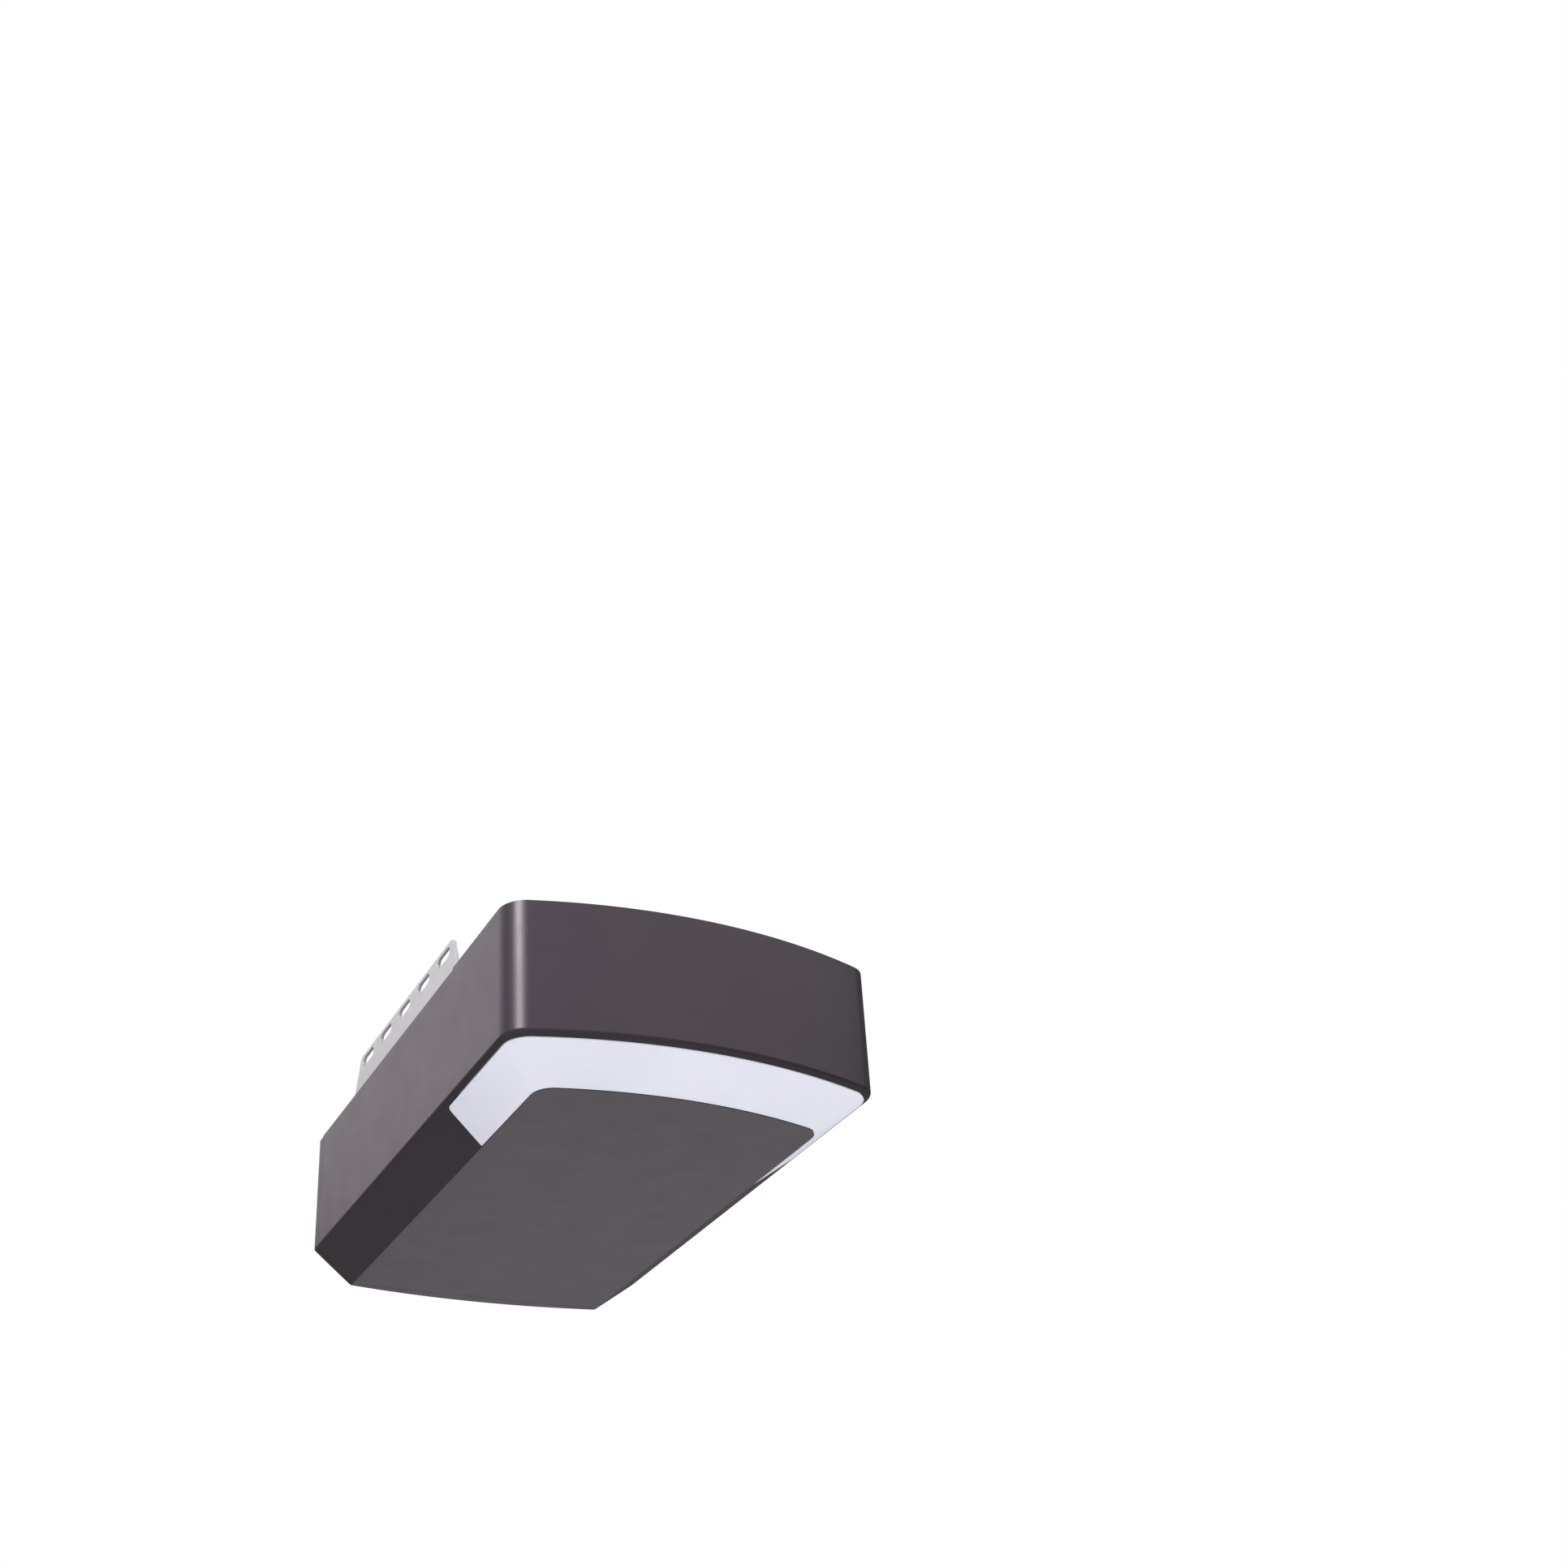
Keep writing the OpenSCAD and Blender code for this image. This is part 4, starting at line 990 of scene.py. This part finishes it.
def screw_head(piece, at, radius, length, head_r, head_h, axis="Z", recess=hexagon, steps=36):
    """Pan head with a rounded rim and a socket, on a plain shank."""
    inner = head_r * 0.5
    profile = [(0, -length), (radius * 0.7, -length), (radius, -length + 1.0), (radius, 0.0), (head_r, 0.0)]
    for t in (0, 30, 60, 80):
        a = math.radians(t)
        rim_r = head_r - 0.18 * head_h * (1 - math.cos(a)) - 0.04 * head_r * t / 90
        profile.append((rim_r, head_h * (0.55 + 0.45 * math.sin(a))))
    socket, depth = recess(inner), head_h * 0.45
    profile += [(inner * 1.12, head_h), (socket, head_h), (socket, depth), (0, depth)]
    piece.lathe(profile, at, axis, steps)


def build_screws():
    """Heads and shanks: place, shank radius and length, head radius and height."""
    groups = (
        ("housing_screw_heads", "housing_screws", [
            (s * x, y, z, 1.8, length, 4.0, 2.4) for s in (-1, 1) for x, y, z, length in (
                (*HOOD_POST, 0.0, 14.0), (*COVER_EAR, 0.0, 6.0), (*DECK_POST, LIP_H, 14.0))]),
        ("chassis_screw_heads", "chassis_screws", [
            (x, y, 0.0, 2.0, 4.5, 4.0, 2.4) for x, y in CHASSIS_SCREWS]),
        ("mount_bolt_heads", "gearbox_mount_bolts", [
            (x, y, 0.0, 3.0, 13.5, 6.0, 4.0) for x, y in MOUNT_BOLTS]),
        ("clamp_bolt_heads", "rail_clamp_bolts", [
            (x, y, 5.0, 3.0, 8.5, 5.0, 4.0) for x, y in CLAMP_BOLTS]),
    )
    for name, node, places in groups:
        piece = Piece()
        for x, y, z, *sizes in places:
            screw_head(piece, (x, y, z), *sizes)
        piece.finish(name, node, edge=0.12, angle=45)


build_rivets()
build_screws()

# -------- rail seat, clamps and drive end


def build_rail_seat():
    """Plate with a raised middle strip and four upright guides beside the rail."""
    low, high = cad_size("rail_seat")
    piece = Piece()
    bolts = [circle(x, y, 3.0, 20) for x, y in CLAMP_BOLTS]
    shaft = circle(0, 0, 16.0, 48)
    piece.plate(rounded_rect(low.x, low.y, high.x, high.y, 4.0), [shaft] + bolts, 0.0, 2.5)
    piece.plate(rounded_rect(-18.0, low.y + 0.4, 18.0, high.y - 0.4, 2.0), [shaft], 2.4, 3.5)
    for s in (-1, 1):
        for y in (low.y, high.y - 33.0):
            profile = [(y, 0.0), (y + 33.0, 0.0), (y + 33.0, 9.0), (y + 30.0, high.z),
                       (y + 3.0, high.z), (y, 9.0)]
            x0, x1 = sorted((s * 19.0, s * 21.0))
            piece.prism(profile, x0, x1, "X")
    piece.finish("rail_seat_plate", "rail_seat", edge=0.3)


def build_clamp(node):
    """Hat-shaped strap with rounded bends."""
    low, high = cad_size(node)
    t = 2.5
    inner, foot, roof = 21.5 + t, low.z, high.z
    outer_path = [Vector((high.x, foot + t)), Vector((inner, foot + t)), Vector((inner, roof)),
                  Vector((-inner, roof)), Vector((-inner, foot + t)), Vector((low.x, foot + t))]
    inner_path = [Vector((low.x, foot)), Vector((-inner + t, foot)), Vector((-inner + t, roof - t)),
                  Vector((inner - t, roof - t)), Vector((inner - t, foot)), Vector((high.x, foot))]

    def rounded(path, radii):
        points = [path[0]]
        for (a, b, c), radius in zip(zip(path, path[1:], path[2:]), radii):
            points += fillet(a, b, c, radius, 5)
        return points + [path[-1]]

    outline = rounded(outer_path, (1.2, 3.4, 3.4, 1.2)) + rounded(inner_path, (0.35, 0.9, 0.9, 0.35))
    piece = Piece()
    piece.prism([(p.x, p.y) for p in outline], low.y, high.y, "Y")
    piece.finish(node + "_strap", node, edge=0.3)


def build_output_end():
    """Ground round journal, circlip groove and a hexagonal end with a chamfer."""
    low, high = cad_size("output_shaft")
    corner_r, limit = 5.7, 6.0
    profile = [(0, low.z), (6.2, low.z), (7.0, low.z + 0.8), (7.0, -4.6), (6.2, -4.6), (6.2, -3.4),
               (7.0, -3.4), (7.0, -1.0), (6.0, -1.0), (6.0, 12.0)]
    profile += [(hexagon(corner_r, limit), 12.0), (hexagon(corner_r, limit), high.z - 1.0),
                (hexagon(corner_r * 0.84, limit), high.z)]
    piece = Piece()
    piece.lathe(profile, (0, 0, 0), steps=72)
    piece.finish("output_shaft_end", "output_shaft", edge=0.15, angle=30)


build_rail_seat()
for clamp_node in ("rail_clamp_front", "rail_clamp_rear"):
    build_clamp(clamp_node)
build_output_end()

# -------- control end

PANEL_FACE = REAR_Y + 7.0
BUTTONS = (("button_up", -66.0), ("button_down", -50.0), ("button_set", -34.0))
BUTTON_Z = -50.0
DISPLAY = (-9.0, 21.0, -60.0, -40.0)


def build_panel():
    """Recessed plate with button holes and a window opening, inside a rim flush with the housing."""
    x0, x1, z0, z1 = PANEL
    piece = Piece()
    wx0, wx1, wz0, wz1 = DISPLAY
    holes = [rect(wx0, wz0, wx1, wz1)] + [circle(x, BUTTON_Z, 5.3, 40) for _, x in BUTTONS]
    piece.plate(rect(x0, z0, x1, z1), holes, PANEL_FACE - 2.5, PANEL_FACE, "Y")

    def loop(inset):
        """Points of the rim, round the recess."""
        a0, a1, c0, c1 = x0 + inset, x1 - inset, z0 + inset, z1 - inset
        points = [(x, c0) for x in spread(a0, a1, 14)[:-1]] + [(a1, z) for z in spread(c0, c1, 4)[:-1]]
        points += [(x, c1) for x in reversed(spread(a0, a1, 14)[1:])]
        return points + [(a0, z) for z in reversed(spread(c0, c1, 4)[1:])]

    outer, inner = loop(0.0), loop(2.0)
    rows = [
        [(x, PANEL_FACE - 0.6, z) for x, z in outer],
        [(x, rear_y(x) - 0.05, z) for x, z in outer],
        [(x, rear_y(x) - 0.05, z) for x, z in inner],
        [(x, PANEL_FACE - 0.6, z) for x, z in inner],
    ]
    made = piece.grid(rows, closed=True)
    count = len(outer)
    for i in range(count):
        j = (i + 1) % count
        piece.face((made[3][i], made[3][j], made[0][j], made[0][i]))
    for _, x in BUTTONS:
        ring_trim(piece, x)
    piece.finish("control_panel_frame", "control_panel", edge=0.2)


def ring_trim(piece, x):
    """A raised ring round a button hole."""
    profile = [(5.45, -0.2), (7.0, -0.2), (6.9, 0.35), (6.6, 0.6), (5.8, 0.6), (5.5, 0.35)]
    rows = []
    for i in range(41):
        a = 2 * math.pi * i / 40
        rows.append([(x + r * math.cos(a), PANEL_FACE + h, BUTTON_Z + r * math.sin(a)) for r, h in profile])
    piece.grid(rows, closed=True)


def glyph_outline(kind, x, z):
    """Generic marks: an arrow up, an arrow down and a square."""
    if kind == "button_up":
        return [(x - 2.4, z - 1.2), (x + 2.4, z - 1.2), (x, z + 2.0)]
    if kind == "button_down":
        return [(x - 2.4, z + 1.2), (x, z - 2.0), (x + 2.4, z + 1.2)]
    return rect(x, z, x, z, 1.6)


def build_button(node, x):
    """Cap with a crowned, dished face and a raised mark, a stop flange and a stem."""
    low, high = cad_size(node)
    piece = Piece()
    stem, flange, face = low.y, PANEL_FACE - 4.6, high.y - 0.45
    profile = [(0, stem), (1.6, stem), (2.0, stem + 0.5), (2.0, flange), (6.4, flange), (6.4, flange + 1.8),
               (5.0, flange + 1.8), (5.0, face - 0.9), (4.8, face - 0.35), (4.3, face), (3.4, face - 0.05),
               (1.8, face - 0.22), (0, face - 0.28)]
    piece.lathe(profile, (x, 0, BUTTON_Z), "Y")
    piece.prism(glyph_outline(node, x, BUTTON_Z), face - 0.5, face + 0.32, "Y")
    piece.finish(node + "_cap", node, edge=0.12, angle=40)


def build_window():
    """The tinted pane over the display."""
    low, high = cad_size("display_window")
    piece = Piece()
    piece.prism(rounded_rect(low.x, low.z, high.x, high.z, 0.6, 3), low.y, high.y, "Y")
    piece.finish("display_pane", "display_window", edge=0.25)


def build_digits():
    """Two seven-segment digits behind the window, unlit."""
    y = cad_size("display_window")[1].y
    middle = (DISPLAY[2] + DISPLAY[3]) / 2
    piece = Piece()
    for cx in (-0.5, 12.5):
        segments = [(cx, middle + dz, 2.3, 0.45) for dz in (5, 0, -5)]
        segments += [(cx + dx, middle + dz, 0.45, 1.9) for dz in (2.5, -2.5) for dx in (-2.9, 2.9)]
        for x, z, u, v in segments:
            # a bar with pointed ends: u and v are its half sizes
            if u > v:
                pts = [(x - u, z), (x - u + v, z - v), (x + u - v, z - v),
                       (x + u, z), (x + u - v, z + v), (x - u + v, z + v)]
            else:
                pts = [(x, z - v), (x + u, z - v + u), (x + u, z + v - u),
                       (x, z + v), (x - u, z + v - u), (x - u, z - v + u)]
            piece.prism(pts, y - 0.05, y + 0.04, "Y")
    n = plastic("digit_segments", (0.16, 0.02, 0.02), 0.3, 0.001)
    piece.finish("display_digits", slot="window_red", edge=None, material=n)


def build_inlet():
    """Screwed flange and a socket with cut corners."""
    low, high = cad_size("mains_inlet")
    face = high.y
    base = face - 2.5
    piece = Piece()
    cut = 3.0
    sx0, sx1, sz0, sz1 = INLET_X - 12, INLET_X + 12, INLET_Z - 8, INLET_Z + 8
    socket = [(sx0, sz0), (sx1, sz0), (sx1, sz1 - cut), (sx1 - cut, sz1), (sx0 + cut, sz1), (sx0, sz1 - cut)]
    outer = rounded_rect(low.x, INLET_Z - 12, high.x, INLET_Z + 12, 3.0)
    screws = [circle(x, INLET_Z, 1.6, 20) for x in INLET_SCREWS]
    piece.plate(outer, [socket] + screws, base, face, "Y")
    shell = rect(sx0, sz0, sx1, sz1, 1.6)
    piece.plate(shell, [socket], face - 16.4, base + 0.01, "Y")
    piece.prism(shell, low.y, face - 16.3, "Y")
    piece.finish("inlet_flange", "mains_inlet", edge=0.35)


def build_blades():
    """Three blades that stand in the inlet's socket."""
    face = cad_size("mains_inlet")[1].y
    piece = Piece()
    for dx, dz in ((-7, 1.5), (0, -2.5), (7, 1.5)):
        x, z = INLET_X + dx, INLET_Z + dz
        outline = rounded_rect(x - 1, z - 2, x + 1, z + 2, 0.35, 3)
        piece.prism(outline, face - 16.5, face - 4.5, "Y")
    piece.finish("inlet_blades", "mains_inlet", slot="zinc_fastener", edge=0.3)


def build_inlet_screws():
    head_y = cad_size("inlet_screws")[1].y - 1.5
    piece = Piece()
    for x in INLET_SCREWS:
        screw_head(piece, (x, head_y, INLET_Z), 1.5, 7.4, 2.9, 1.5, "Y", cross)
    piece.finish("inlet_screw_heads", "inlet_screws", edge=0.08, angle=45)


def build_terminals():
    """Eight-way block: wire entries below, clamping screws above, ribs between the ways."""
    low, high = cad_size("terminal_block")
    step = (high.x - low.x) / 8
    piece = Piece()
    ways = [low.x + (i + 0.5) * step for i in range(8)]
    front, screw_z = high.y - 1.2, high.z - 3.0
    holes = [circle(x, low.z + 4.5, 1.5, 20) for x in ways]
    holes += [circle(x, screw_z, 1.9, 20) for x in ways]
    piece.plate(rect(low.x, low.z, high.x, high.z), holes, low.y, front, "Y")
    for i in range(9):
        x = low.x + i * step
        piece.box((max(low.x, x - 0.45), front - 0.1, low.z), (min(high.x, x + 0.45), high.y, high.z))
    piece.finish("terminal_housing", "terminal_block", edge=0.15)
    piece = Piece()
    for x in ways:
        screw_head(piece, (x, front - 1.6, screw_z), 1.0, 3.0, 1.75, 0.9, "Y", cross, 20)
    piece.finish("terminal_screws", "terminal_block", slot="zinc_fastener", edge=0.05, angle=45)


build_panel()
for button_node, button_x in BUTTONS:
    build_button(button_node, button_x)
build_window()
build_digits()
build_inlet()
build_blades()
build_inlet_screws()
build_terminals()

# -------- camera, floor, light


def make_camera():
    """A plain pinhole whose axes and place were fitted to the outline of the head."""
    right = Vector((0.87079, -0.48543, -0.07798))
    down = Vector((0.22175, 0.52936, -0.8189))
    ahead = Vector((0.4388, 0.6958, 0.56861))
    data = bpy.data.cameras.new("camera")
    data.lens = 40.957
    data.sensor_width = 36.0
    data.clip_start = 0.01
    data.clip_end = 60.0
    cam = add_object("camera", data)
    turn = Matrix((right, -down, -ahead)).transposed()
    cam.matrix_world = Matrix.Translation((-0.46507, -1.01001, -0.561)) @ turn.to_4x4()
    bpy.context.scene.camera = cam


def soft_light(name, at, aim, size, power, colour):
    data = bpy.data.lights.new(name, "AREA")
    data.shape = "RECTANGLE"
    data.size, data.size_y = size
    data.energy = power
    data.color = colour
    lamp = add_object(name, data)
    lamp.location = at
    lamp.rotation_mode = "QUATERNION"
    lamp.rotation_quaternion = (Vector(aim) - Vector(at)).to_track_quat("-Z", "Y")
    lamp.visible_camera = False


def make_stage():
    """A pale floor two metres below the head, lifted for the camera only, so that it adds no light."""
    mesh = bpy.data.meshes.new("floor")
    bm = bmesh.new()
    bmesh.ops.create_grid(bm, x_segments=8, y_segments=8, size=30.0)
    bm.to_mesh(mesh)
    bm.free()
    floor = add_object("floor", mesh)
    floor.location = (0.0, 0.0, -2.0)
    n = Nodes("floor_paint")
    n.set(
        Base_Color=n.colours(n.noise(1.5, 4.0), (0.3, (0.78, 0.78, 0.78)), (0.7, (0.82, 0.82, 0.82))),
        Roughness=0.85,
        Normal=n.bump(n.noise(120.0), 0.2),
        Emission_Color=(1.0, 1.0, 1.0, 1.0),
        Emission_Strength=n.math("MULTIPLY", n.add("ShaderNodeLightPath").outputs["Is Camera Ray"], 0.5),
    )
    mesh.materials.append(n.material)


def make_world():
    """White behind the object, and a dim even light on it."""
    world = bpy.data.worlds.new("studio")
    bpy.context.scene.world = world
    world.use_nodes = True
    tree = world.node_tree
    tree.nodes.clear()
    path = tree.nodes.new("ShaderNodeLightPath")
    shades = []
    for colour, strength in (((1.0, 0.945, 0.995, 1), 0.178), ((1, 1, 1, 1), 1.0)):
        shade = tree.nodes.new("ShaderNodeBackground")
        shade.inputs["Color"].default_value = colour
        shade.inputs["Strength"].default_value = strength
        shades.append(shade)
    mix = tree.nodes.new("ShaderNodeMixShader")
    out = tree.nodes.new("ShaderNodeOutputWorld")
    tree.links.new(path.outputs["Is Camera Ray"], mix.inputs["Fac"])
    for shade, socket in zip(shades, mix.inputs[1:]):
        tree.links.new(shade.outputs[0], socket)
    tree.links.new(mix.outputs[0], out.inputs["Surface"])


make_camera()
make_stage()
make_world()
SOFT_PINK = (1.0, 0.94, 1.0)
soft_light("left_softbox", (-1.12, 1.65, 1.30), (-0.12, 0.05, -0.04), (2.1, 1.5), 10.1, SOFT_PINK)
soft_light("floor_softbox", (1.1, 1.9, -1.5), (0, 0.05, -0.1), (1.8, 1.6), 6.8, (1.0, 0.92, 1.0))
soft_light("front_softbox", (1.2, -2.0, 1.3), (0, -0.1, -0.05), (3.4, 1.4), 14.1, SOFT_PINK)
soft_light("overhead_softbox", (0.2, 0.4, 2.6), (0, 0.1, 0), (3.2, 3.2), 30.0, (1.0, 1.0, 1.0))
soft_light("corner_strip", (-1.40, -1.20, 1.09), (-0.12, -0.15, -0.05), (0.64, 0.9), 50.3, SOFT_PINK)

scene = bpy.context.scene
scene.view_settings.view_transform = "Standard"
scene.view_settings.look = "None"
scene.view_settings.exposure = 0.0
scene.view_settings.gamma = 1.0
